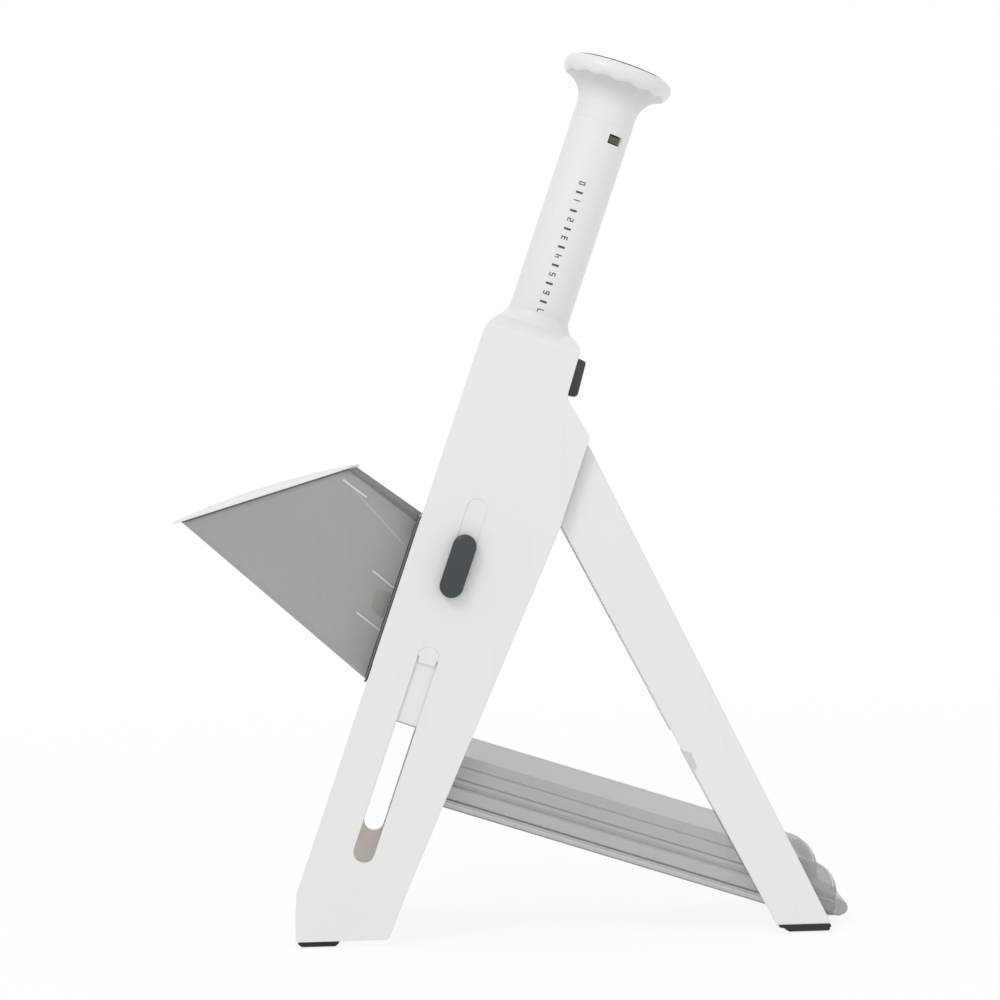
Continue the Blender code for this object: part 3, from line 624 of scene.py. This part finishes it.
def make_panels():
    """Side shells down to the table, with rounded edges, the guide slot and the latch track."""
    shoe = [(*from_table(31.0, SHOE_TOP), 2.0), (*from_table(SHOE_REAR, SHOE_LOW), 1.5),
            (*from_table(SHOE_FRONT, SHOE_LOW), 1.0), (*from_table(SHOE_FRONT, SHOE_TOP), 2.0)]
    outline = rounded([*HEAD_CORNERS, (23.1, 262.4, 6.0), (38.2, 249.3, 3.0), (38.3, 207.2, 8.0),
                       (31.0, 118.1, 0.0), (24.6, 33.0, 0.0), *shoe, (FRONT_U, 17.5, 3.0)])
    inside, outside = THROUGH
    slot = capsule(SLOT_U, SLOT_LOW_W, SLOT_TOP_W, SLOT_R)
    channel = capsule(SLOT_U, SLIDER_LOW_W - STROKE, SLOT_TOP_W + 1.0, SLIDER_HALF + 0.6)
    track = capsule(KNOB_U, KNOB_LOW_W, TRACK_TOP_W, TRACK_R)
    stem_slot = capsule(KNOB_U, STEM_W, STEM_W + KNOB_TRAVEL, STEM_R + 0.4)
    for name, side in SIDES.items():
        shell = prism(outline, PANEL_IN, HALF_WIDTH, 0.0, 2.5, 6)
        cuts = [shoulder(), prism(slot, inside, outside), prism(channel, inside, SLIDER_OUT + 0.2),
                prism(track, HALF_WIDTH - TRACK_DEPTH, outside), prism(stem_slot, inside, outside)]
        panel = piece("body_panel_" + name, sided(side, carved(shell, cuts)), BODY, "body", WHITE,
                      ["side_panel_" + name], 0.2, 50.0)
        # The panels' inner faces take the copy with painted light.
        line_faces(panel, INNER_LIT_WHITE, lambda face, side=side: face.normal.y * side < -0.9)


def make_head():
    """Head between the panels, with the collar that the handle slides through."""
    half = PANEL_IN - HAIRLINE
    outline = rounded([(FRONT_U, HEAD_LOW_W, 0.0), *HEAD_CORNERS, (HEAD_REAR_U - 0.3, HEAD_LOW_W, 0.0)])
    cone = [(0, 284.0), (18.6, 284.0)]
    for step in range(11):
        share = step / 10
        cone.append((COLLAR_R + COLLAR_FLARE * (1 - share) ** 1.8, HEAD_TOP_W + 0.1 + 6.4 * share))
    cone.append((0, HEAD_TOP_W + COLLAR_RISE))
    boss = [(0, HEAD_LOW_W), (16.6, HEAD_LOW_W), (16.6, 285.0), (0, 285.0)]
    bore = [(0, 255.0), (BORE_R, 255.0), (BORE_R, 300.0), (0, 300.0)]
    hollow = box((-18.3, 18.9), (-46.0, 46.0), (260.0, 283.0))
    button_window = box((16.9, 30.0), (-11.6, 11.6), (263.4, 282.8))
    head = carved(prism(outline, -half, half), [hollow, shoulder(), mirrored(shoulder())])
    head = carved(head, [turned(bore), button_window], [turned(cone), turned(boss)])
    piece("head_shell", head, BODY, "body", WHITE, ["head_housing", "handle_bush"],
          0.3, 45.0)


def make_base():
    """Shoe between the panels, and its two soft feet."""
    half = PANEL_IN - HAIRLINE
    outline = rounded([(SHOE_FRONT, SHOE_LOW, 1.0), (SHOE_REAR, SHOE_LOW, 1.5), (31.0, SHOE_TOP, 0.0),
                       (SHOE_FRONT, SHOE_TOP, 0.0)])
    pocket = rounded([(-12.4, 5.2, 2.0), (50.0, 5.2, 0.0), (50.0, 30.0, 0.0), (-12.4, 30.0, 0.0)])
    shoe = carved(prism(outline, -half, half), [prism(pocket, -48.0, 48.0)])
    piece("base_floor", shoe, TABLE, "body", WHITE, ["base_shoe"], 0.4)
    sole = rounded([(-14.2, 2.3, 0.3), (4.0, 2.3, 0.3), (3.9, 1.3, 0.5), (2.4, 0.0, 1.2), (-12.6, 0.0, 1.2),
                    (-14.1, 1.3, 0.5)])
    for name, side in SIDES.items():
        pad = prism(sole, 36.0, 51.0, 0.9, 0.9)
        piece("front_pad_" + name, sided(side, pad), TABLE, "body", RUBBER, ["front_foot_" + name])


def make_screws():
    """Domed screw heads with a cross recess, on the right panel."""
    turns = [math.pi / 2 * step / 8 for step in range(8)]
    for number, (u, w) in enumerate(SCREWS, 1):
        dome = [(SCREW_R * math.cos(turn), SCREW_RIM + SCREW_RISE * math.sin(turn)) for turn in turns]
        head = turned([(0, 0.0), (SCREW_R, 0.0), *dome, (0, 1.2)], 40)
        slots = [box((-1.7, 1.7), (-0.32, 0.32), (0.55, 2.0)), box((-0.32, 0.32), (-1.7, 1.7), (0.55, 2.0))]
        head = carved(head, slots)
        bmesh.ops.rotate(head, matrix=Matrix.Rotation(math.radians(-90.0), 3, "X"), verts=head.verts)
        bmesh.ops.translate(head, vec=(u, HALF_WIDTH, w), verts=head.verts)
        piece(f"screw_{number}", head, BODY, "body", STEEL, [f"panel_screw_{number}"])


def make_springs():
    """Return springs, coiled round the guide rods."""
    for name, side in SIDES.items():
        wire = coil(SPRING_R, WIRE_R, SPRING_LOW_W, SPRING_HIGH_W, SPRING_TURNS, (ROD_U, side * ROD_Y))
        spring = piece("spring_" + name, wire, BODY, "body", WIRE_STEEL, ["return_spring_" + name],
                       0.0, 60.0)
        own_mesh(spring)


# ---- handle ------------------------------------------------------------------------------------
FLARE_LOW_W = 394.5            # where the cap begins to flare
RIM_WIDE, RIM_TALL = 4.0, 4.2  # half width and half height of the rim's round section
RIM_START = math.radians(-66.0)
SCALE_TOP_W = 358.0
SCALE_PITCH, SCALE_COUNT = 8.7, 8
TICK_LONG, TICK_T = 3.2, 1.0
DIGIT_LONG, DIGIT_WIDE, STROKE_W, INK_T = 2.5, 1.15, 0.46, 0.03
INK_STEPS = 4
CAP_LOW_W = 385.0              # foot of the cap's plug inside the tube
CAP_IN_R = 21.5                # recess for the pad
FLUTES, FLUTE_DEPTH, FLUTE_REACH = 14, 0.5, 2.2  # scallops round the rim's lower edge
PAD_R, PAD_RINGS, RING_PITCH = 21.3, 5, 3.2    # soft pad and its raised rings
WINDOW_TURN = 34.2             # degrees round the tube from its left side, towards the rear
SEGMENTS = {"0": "abcdef", "1": "bc", "2": "abged", "3": "abgcd",
            "4": "fgbc", "5": "afgcd", "6": "afgedc", "7": "abc"}
SEGMENT_LINES = {"a": ((0, 2), (1, 2)), "b": ((1, 2), (1, 1)), "c": ((1, 1), (1, 0)), "d": ((0, 0), (1, 0)),
                 "e": ((0, 1), (0, 0)), "f": ((0, 2), (0, 1)), "g": ((0, 1), (1, 1))}


def ink_line(bm, start, end, width):
    """Flat printed line on the tube's near side, from start to end as (distance round the tube, height)."""
    start, end = Vector(start), Vector(end)
    along = (end - start).normalized() * width / 2
    across = Vector((-along.y, along.x))
    start, end = start - along, end + along
    rings = []
    for step in range(INK_STEPS + 1):
        middle = start.lerp(end, step / INK_STEPS)
        ring = []
        for point, radius in ((middle - across, TUBE_R - 0.1), (middle + across, TUBE_R - 0.1),
                              (middle + across, TUBE_R + INK_T), (middle - across, TUBE_R + INK_T)):
            turn = point.x / TUBE_R - math.pi / 2
            ring.append(bm.verts.new((radius * math.cos(turn), radius * math.sin(turn), point.y)))
        rings.append(ring)
    bridge(bm, rings)
    bm.faces.new(rings[0])
    bm.faces.new(rings[-1])


def make_scale():
    """Printed thickness scale: numerals lying on their sides with a bold tick between each two."""
    bm = bmesh.new()
    reach = (TICK_LONG - TICK_T) / 2
    for index in range(SCALE_COUNT):
        w = SCALE_TOP_W - SCALE_PITCH * index
        for segment in SEGMENTS[str(index)]:
            ends = [(DIGIT_LONG * (0.5 - z / 2), w + DIGIT_WIDE * (x - 0.5))
                    for x, z in SEGMENT_LINES[segment]]
            ink_line(bm, *ends, STROKE_W)
        if index < SCALE_COUNT - 1:
            ink_line(bm, (-reach, w - SCALE_PITCH / 2), (reach, w - SCALE_PITCH / 2), TICK_T)
    bmesh.ops.recalc_face_normals(bm, faces=bm.faces)
    piece("grip_scale", bm, BODY, "handle", INK)


def make_grip():
    """Tube with the snap window, its flared cap with a scalloped rim, and the soft pad on top."""
    inner = TUBE_R - TUBE_WALL
    plug, seat = inner - 0.3, TUBE_TOP_W + 0.02
    tube = [(inner, TUBE_LOW_W), (inner, TUBE_TOP_W), (TUBE_R, TUBE_TOP_W), (TUBE_R, TUBE_LOW_W)]
    window = turned_by(box((-3.45, 3.45), (-20.0, -8.0), (379.2, 383.6)), WINDOW_TURN)
    piece("grip_tube", carved(turned(tube, 128), [window]), BODY, "handle", WHITE_GRIP,
          ["handle_tube"], 0.0, 50.0)

    profile = [(plug, CAP_LOW_W), (plug, seat), (TUBE_R, seat)]
    rim = [(CAP_RIM_R - RIM_WIDE + RIM_WIDE * math.cos(turn), CAP_RIM_W + RIM_TALL * math.sin(turn))
           for turn in (RIM_START + (math.radians(88.0) - RIM_START) * step / 16 for step in range(17))]
    low, bend, high = Vector((TUBE_R, FLARE_LOW_W)), Vector((TUBE_R + 0.15, 402.4)), Vector(rim[0])
    for step in range(20):
        share = step / 20
        profile.append(tuple(low.lerp(bend, share).lerp(bend.lerp(high, share), share)))
    profile += rim
    profile += [(CAP_IN_R + 0.1, CAP_TOP_W), (CAP_IN_R, CAP_TOP_W - 1.6), (0, CAP_TOP_W - 1.6),
                (0, CAP_LOW_W)]

    def flutes(radius, z, angle):
        """Shallow waves round the lower edge of the rim."""
        share = max(0.0, 1.0 - abs(z - rim[0][1]) / FLUTE_REACH) if radius > 18.0 else 0.0
        return FLUTE_DEPTH * share * math.cos(FLUTES * angle)

    cap = piece("grip_cap", turned(profile, 168, wave=flutes), BODY, "handle", WHITE_GRIP,
                ["handle_cap"], 0.0, 24.0)

    def under_rim(face):
        """Whether the face lies on the flare, below the rim."""
        u, y, w = BODY.inverted() @ face.center
        return math.hypot(u, y) < rim[0][0] and FLARE_LOW_W < w < CAP_RIM_W

    # The flare below the rim takes the painted shade.
    line_faces(cap, SHADED_GRIP, under_rim)
    pad = [(0, CAP_TOP_W - 1.5), (PAD_R, CAP_TOP_W - 1.5), (PAD_R, CAP_TOP_W + 0.3), (20.7, CAP_TOP_W + 0.6)]
    for ring in range(PAD_RINGS):
        radius = 19.0 - RING_PITCH * ring
        rise = CAP_TOP_W + 0.65 + 0.06 * ring
        low = rise - 0.25
        pad += [(radius + 0.6, rise), (radius + 0.3, low), (radius - 0.3, low), (radius - 0.6, rise)]
    pad.append((0, CAP_TOP_W + 1.0))
    piece("grip_pad", turned(pad, 96), BODY, "handle", DARK, ["cap_pad"], 0.0, 50.0)


def make_guide_bosses():
    """Bosses that fill the round top of each slot, each on a slider plate behind the slot."""
    reach = SLOT_R - 0.04
    low, waist, foot = SLOT_TOP_W - 0.6, 3.9, SLOT_TOP_W - 3.2
    outline = capsule(SLOT_U, SLOT_TOP_W, SLOT_TOP_W, reach)[:21]
    outline += [(SLOT_U - reach, low), (SLOT_U - waist, low), (SLOT_U - waist, foot), (SLOT_U + waist, foot),
                (SLOT_U + waist, low), (SLOT_U + reach, low)]
    front, rear, top = SLOT_U - SLIDER_HALF, SLOT_U + SLIDER_HALF, SLOT_TOP_W + 3.0
    plate = rounded([(front, SLIDER_LOW_W, 0.8), (rear, SLIDER_LOW_W, 0.8), (rear, top, 4.0),
                     (front, top, 4.0)])
    for name, side in SIDES.items():
        boss = prism(outline, 47.9, HALF_WIDTH - 0.1)
        slider = carved(prism(plate, PANEL_IN + 0.05, SLIDER_OUT, 0.0, 0.2, 2), [], [boss])
        piece("guide_boss_" + name, sided(side, slider), BODY, "handle", WHITE,
              ["guide_pin_" + name], 0.08)


# ---- chute and food pusher ---------------------------------------------------------------------
MOUTH_ROUNDS, BODY_ROUNDS = (4.0, 5.0), (5.0, 15.0)    # lower and upper corner radii at the two ends
# The lip's darkness is painted shade of the gap under the lid.
LIP_RISES = (-0.5, 0.2)        # dark bead round the mouth, along the way out
RIBS = (((-60.0, 197.0), (-47.1, 192.6)), ((-33.6, 188.0), (-23.2, 184.4)),
        ((-34.9, 162.8), (-23.0, 158.2)), ((-35.8, 142.9), (-23.0, 138.3)))
RIB_HALF, RIB_POINT, RIB_RISE = 0.5, 0.8, 0.45
UPPER_INSET = 3.2              # how far the chute's flank falls in at the second rib
SKIN_RISE = 0.12               # of the crease and the tab
LID_FRONT, LID_REAR, LID_SIDE, LID_GAP = 3.0, 0.8, 1.5, 0.3  # the lid's reach past the mouth
LID_EDGE, LID_CROWN, LID_ROUND = 1.0, 2.7, 4.5     # thickness, crown and corner rounds


def chute_loop(low, high, half, radius_low, radius_high, steps=10):
    """Rounded rectangle on the plane through low and high (u, w), across from -half to half."""
    length = (high - low).length
    along = (high - low).normalized()
    outline = rounded([(-half, 0.0, radius_low), (half, 0.0, radius_low), (half, length, radius_high),
                       (-half, length, radius_high)], steps)
    return [Vector(((low + along * t).x, y, (low + along * t).y)) for y, t in outline]


def make_chute():
    """Smoky chute: square at the mouth, with upper corners that grow rounder towards the body."""
    half = CHUTE_HALF - CHUTE_WALL
    outer = [chute_loop(MOUTH_FRONT, MOUTH_REAR, CHUTE_HALF, *MOUTH_ROUNDS),
             chute_loop(CHUTE_LOW, CHUTE_TOP, CHUTE_HALF, *BODY_ROUNDS)]
    mouth_in = (MOUTH_REAR - MOUTH_FRONT).normalized() * CHUTE_WALL
    body_in = (CHUTE_TOP - CHUTE_LOW).normalized() * CHUTE_WALL
    mouth_rounds = [radius - CHUTE_WALL for radius in MOUTH_ROUNDS]
    body_rounds = [radius - CHUTE_WALL for radius in BODY_ROUNDS]
    inner = [chute_loop(MOUTH_FRONT + mouth_in, MOUTH_REAR - mouth_in, half, *mouth_rounds),
             chute_loop(CHUTE_LOW + body_in, CHUTE_TOP - body_in, half, *body_rounds)]
    hood = piece("chute_hood", loft_tube(outer, inner), BODY, "chute", SMOKE,
                 ["chute_shell"], 0.35, 40.0)
    # Top faces of the hood take the darker smoke: painted shade.
    line_faces(hood, SMOKE_TOP_SHADE, lambda face: face.normal.z > 0.6)

    low, high = MOUTH_FRONT + CHUTE_OUT * 0.05, MOUTH_REAR + CHUTE_OUT * 0.05
    lip_outer = []
    lip_inner = []
    for rise in LIP_RISES:
        front, rear = low + CHUTE_OUT * rise, high + CHUTE_OUT * rise
        lip_outer.append(chute_loop(front, rear, CHUTE_HALF + 0.15, *MOUTH_ROUNDS))
        lip_inner.append(chute_loop(front + mouth_in, rear - mouth_in, half, *mouth_rounds))
    # Near-black lip under the lid: painted shade of the gap there.
    piece("chute_lip", loft_tube(lip_outer, lip_inner), BODY, "chute", SMOKE_DARK)
    make_ribs()


def make_ribs():
    """On each flank of the chute: slim raised ribs painted pale as highlights, a crease strip along the fold
    painted pale as a highlight, and a tab between the lower two ribs.
    """
    skin = CHUTE_HALF + SKIN_RISE
    for name, side in SIDES.items():
        for number, (start, end) in enumerate(RIBS, 1):
            start, end = Vector(start), Vector(end)
            along = (end - start).normalized()
            across = Vector((-along.y, along.x)) * RIB_HALF
            neck = start + along * RIB_POINT
            points = (start, neck - across, end - across, end + across, neck + across)
            flank = CHUTE_HALF - (UPPER_INSET if number == 2 else 0.0)
            rib = prism([tuple(point) for point in points], flank - 0.8, flank + RIB_RISE, 0.0, 0.2, 2)
            # The ribs are raised; their pale colour is a painted highlight.
            piece(f"chute_rib_{name}_{number}", sided(side, rib), BODY, "chute", SMOKE_RIB_HIGHLIGHT)
        # The crease strip's pale colour is a painted highlight along the flank's fold.
        fold = [(-59.8, 197.4), (-59.2, 197.8), (-23.2, 177.9), (-23.2, 176.2)]
        crease = prism(fold, CHUTE_HALF - 0.5, skin, 0.0, 0.1, 2)
        piece(f"chute_crease_highlight_{name}", sided(side, crease), BODY, "chute", SMOKE_CREASE_HIGHLIGHT)
        tab = rounded([(-30.0, 146.2, 3.0), (-23.6, 143.8, 0.5), (-23.6, 155.6, 0.5), (-31.2, 156.2, 3.0)])
        tab = prism(tab, CHUTE_HALF - 0.3, skin, 0.0, 0.1, 2)
        piece(f"chute_tab_{name}", sided(side, tab), BODY, "chute", SMOKE_SHADE)


def make_lid():
    """White lid on the chute's mouth: thin all round, crowned in the middle."""
    along = (MOUTH_REAR - MOUTH_FRONT).normalized()
    low = MOUTH_FRONT - along * LID_FRONT + CHUTE_OUT * LID_GAP
    high = MOUTH_REAR + along * LID_REAR + CHUTE_OUT * LID_GAP
    length = (high - low).length
    half = CHUTE_HALF + LID_SIDE
    columns, rows = 28, 24
    bm = bmesh.new()

    def point(i, j, rise):
        """Vertex of column i and row j, closer together towards the edges."""
        t = -math.cos(math.pi * i / columns) / 2 + 0.5
        s = -math.cos(math.pi * j / rows)
        place = low + along * length * t + CHUTE_OUT * rise
        return bm.verts.new((place.x, half * s, place.y))

    def crown(i, j):
        """The lid's thickness at column i and row j."""
        t = math.sin(math.pi * (0.5 - math.cos(math.pi * i / columns) / 2))
        s = math.sin(math.pi * j / rows)
        return LID_EDGE + LID_CROWN * (t * min(1.0, s * 1.6)) ** 0.75

    under = [[point(i, j, 0.0) for j in range(rows + 1)] for i in range(columns + 1)]
    over = [[point(i, j, crown(i, j)) for j in range(rows + 1)] for i in range(columns + 1)]
    for sheet in (under, over):
        for i in range(columns):
            for j in range(rows):
                bm.faces.new((sheet[i][j], sheet[i + 1][j], sheet[i + 1][j + 1], sheet[i][j + 1]))
    for i in range(columns):
        for j in (0, rows):
            bm.faces.new((under[i][j], under[i + 1][j], over[i + 1][j], over[i][j]))
    for j in range(rows):
        for i in (0, columns):
            bm.faces.new((under[i][j], under[i][j + 1], over[i][j + 1], over[i][j]))
    bmesh.ops.recalc_face_normals(bm, faces=bm.faces)
    tips = [sheet[i][j] for sheet in (under, over) for i in (0, columns) for j in (0, rows)]
    corners = [edge for edge in bm.edges if all(vert in tips for vert in edge.verts)]
    bmesh.ops.bevel(bm, geom=corners, offset=LID_ROUND, segments=8, profile=0.5, affect="EDGES",
                    clamp_overlap=True)
    piece("lid", bm, BODY, "pusher", WHITE, ["pusher_lid"], 0.3, 45.0)


# ---- latches and stand lock --------------------------------------------------------------------
KNOB_RISE = 5.5
BUTTON_HALF = 11.0
GROOVE_LOW_W, GROOVE_PITCH, GROOVES = 268.6, 2.0, 6


def make_knobs():
    """Capsule knobs with rounded rims, on their stems."""
    outline = capsule(KNOB_U, KNOB_LOW_W, KNOB_HIGH_W, KNOB_R)
    for name, side in SIDES.items():
        cap = prism(outline, HALF_WIDTH + 0.1, HALF_WIDTH + KNOB_RISE, 0.2, 1.7, 6)
        stem = prism(circle(KNOB_U, STEM_W, STEM_R), PANEL_IN - 0.3, HALF_WIDTH + 1.0)
        knob = carved(cap, [], [stem])
        piece("knob_" + name, sided(side, knob), BODY, "latch_" + name, DARK,
              ["latch_knob_" + name], 0.0, 50.0)


def make_button():
    """Rocking release button with grip grooves across its face."""
    outline = rounded([(22.0, 282.3, 0.6), (27.2, 281.7, 1.4), (28.3, 265.4, 1.4), (24.1, 264.8, 0.6)])
    grooves = []
    for step in range(GROOVES):
        w = GROOVE_LOW_W + GROOVE_PITCH * step
        grooves.append(prism(circle(28.5 - 0.067 * (w - 265.4), w, 0.55, 16), -8.5, 8.5))
    button = carved(prism(outline, -BUTTON_HALF, BUTTON_HALF, 0.9, 0.9), grooves)
    piece("release_button", button, BODY, "stand_lock", CHARCOAL, ["lock_button"], 0.0, 50.0)


def make_lock_spring():
    """Small spring behind the release button."""
    base, w = 17.2, 276.0
    bm = coil(1.5, 0.3, 0.0, 1.5, 3, (0.0, 0.0), 20, 8)
    bmesh.ops.rotate(bm, matrix=Matrix.Rotation(math.radians(90.0), 3, "Y"), verts=bm.verts)
    bmesh.ops.translate(bm, vec=(base, 0.0, w), verts=bm.verts)
    spring = piece("button_spring", bm, BODY, "body", WIRE_STEEL, ["lock_spring"], 0.0, 60.0)
    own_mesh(spring)


# ---- folding stand -----------------------------------------------------------------------------
FOOT_H = 2.8
EYE_R, PIVOT_R = 14.5, 2.9     # the leg's round upper end and its bore


def at_height(x, height):
    """Leg-frame z of a point x across the leg that lies at a height above the table."""
    pivot_z = STAND_W * math.cos(LEAN) - STAND_U * math.sin(LEAN)
    return (height - pivot_z - x * math.sin(STAND_LEAN)) / math.cos(STAND_LEAN)


def make_stand():
    """Stand legs with a notch on their front edge, and lipped rubber feet."""
    sole = FOOT_H + 0.1
    turns = [math.pi * step / 24 for step in range(25)]
    eye = [(EYE_R * math.cos(turn), EYE_R * math.sin(turn), 0.0) for turn in turns]
    notch = [(-11.5, -145.2, 1.2), (-8.6, -147.6, 1.0), (-9.4, -154.2, 1.0), (-11.3, -156.0, 1.0)]
    outline = rounded([*eye, (-12.3, -36.0, 20.0), *notch, (-10.6, at_height(-10.6, sole), 0.6),
                       (11.0, at_height(11.0, sole), 0.6), (15.2, -8.0, 6.0)])
    shape = [(-10.0, FOOT_H), (10.6, FOOT_H), (10.6, FOOT_H - 0.9), (9.9, FOOT_H - 1.2), (9.5, 0.8),
             (8.5, 0.0), (-7.0, 0.0), (-8.0, 0.8), (-8.4, FOOT_H - 1.2), (-10.0, FOOT_H - 0.9)]
    foot = [(x, at_height(x, height)) for x, height in shape]
    bore = circle(0.0, 0.0, PIVOT_R)
    for name, side in SIDES.items():
        leg = carved(prism(outline, LEG_IN, LEG_OUT, 0.3, 0.9, 3), [prism(bore, 40.0, 52.0)])
        leg = piece("leg_" + name, sided(side, leg), LEG, "stand", WHITE,
                    ["stand_leg_" + name], 0.15, 50.0)
        # The legs' inner faces take the copy with painted light.
        line_faces(leg, LEG_INNER_LIT_WHITE, lambda face, side=side: face.normal.y * side < -0.9)
        pad = prism(foot, LEG_IN - 0.6, LEG_OUT + 0.6, 0.5, 0.5, 3)
        piece("rear_pad_" + name, sided(side, pad), LEG, "stand", RUBBER, ["rear_foot_" + name],
              0.25, 30.0)


# ---- tray --------------------------------------------------------------------------------------
TRAY_EAR, EAR_ROUND = 33.0, 4.5            # the two rear ears: inner side and corner rounds
NOOK = 9.0                                 # how far the rear wall stands back between the ears
REAR_DIP, DIP_REACH, DIP_START = 2.0, 10.0, 50.0   # how the rim drops inwards of its sides, at the rear
TRAY_FRONT, TRAY_WALL = -10.2, 1.7
DARK_BANDS = ((0.1, 0.6), (4.0, 4.4))      # heights of the thick, dark steps in the walls
DEEP_BANDS = ((0.8, 2.1), (10.0, 10.5))    # heights of the less dark ones


def tray_loop(height, inset, end, wall):
    """The tray's outline at one height: square front, and a recess between two ears at the rear."""
    half, ear = TRAY_HALF - inset - wall, TRAY_EAR + wall
    front, back, turn = TRAY_FRONT + inset * 0.4 + wall, end - wall, EAR_ROUND - wall
    nook = back - NOOK
    outline = rounded([(front, -half, 1.5), (back, -half, turn), (back, -ear, turn), (nook, -ear, 2.5),
                       (nook, ear, 2.5), (back, ear, turn), (back, half, turn), (front, half, 1.5)])
    dip = REAR_DIP * (height / TRAY_RIM_H) ** 2
    loop = []
    for a, y in outline:
        drop = dip * min(1.0, (half - abs(y)) / DIP_REACH) if a > front + DIP_START else 0.0
        loop.append(Vector((a, y, height - drop)))
    return loop


def make_tray():
    """One smoky moulding: stepped walls, rolled rim, two rounded rear ears and a pull tab between them.

    The walls' steps are levels of height, distance in from the rim, and rear end.
    """
    outside = [(0.0, 2.4, 168.5), (0.7, 1.4, 172.0), (2.2, 0.9, 176.0), (3.7, 0.8, 178.8),
               (3.9, 0.3, 179.6), (4.5, 0.3, 180.2), (4.7, 0.8, 179.8), (7.0, 0.75, 180.3),
               (9.7, 0.6, 179.5), (9.9, 0.1, 179.9), (10.6, 0.1, 179.6), (10.8, 0.55, 179.1),
               (14.0, 0.45, 178.1), (17.0, 0.4, 176.8), (19.4, 0.36, 175.3), (21.4, 0.32, 173.6),
               (22.8, 0.3, 171.7), (23.0, 0.0, 171.6), (24.2, 0.0, 169.0), (TRAY_RIM_H, 0.3, 167.0)]
    outer = [tray_loop(*level, 0.0) for level in outside]
    inner = [tray_loop(*level, TRAY_WALL) for level in outside[2:]]
    bm = bmesh.new()
    outer_rings = [[bm.verts.new(point) for point in loop] for loop in outer]
    inner_rings = [[bm.verts.new(point) for point in loop] for loop in inner]
    bridge(bm, outer_rings)
    bridge(bm, inner_rings)
    bridge(bm, [outer_rings[-1], inner_rings[-1]])
    bm.faces.new(outer_rings[0])
    bm.faces.new(inner_rings[0])
    bmesh.ops.recalc_face_normals(bm, faces=bm.faces)
    for face in bm.faces:
        middle = face.calc_center_median()
        for index, bands in enumerate((DARK_BANDS, DEEP_BANDS), 1):
            if any(low < middle.z < high for low, high in bands):
                face.material_index = index
        if face.normal.x > 0.75 and abs(middle.y) > TRAY_EAR:
            face.material_index = 2
    tray = piece("catch_tray", bm, TRAY, "tray", SMOKE_TRAY, ["tray_body"], 0.0, 28.0)
    tray.data.materials.append(SMOKE_DARK)
    tray.data.materials.append(SMOKE_TAB)

    tab = rounded([(170.5, 1.8, 0.5), (184.6, 1.8, 2.6), (188.8, 5.4, 3.0), (186.0, 8.8, 2.6),
                   (169.0, 12.0, 0.5)])
    piece("tray_tab", prism(tab, -22.0, 22.0, 1.6, 1.6), TRAY, "tray", SMOKE_TAB)


# ---- build -------------------------------------------------------------------------------------
make_studio()
make_camera()
dress_cad()
make_panels()
make_head()
make_base()
make_screws()
make_springs()
make_grip()
make_scale()
make_guide_bosses()
make_chute()
make_lid()
make_knobs()
make_button()
make_lock_spring()
make_stand()
make_tray()
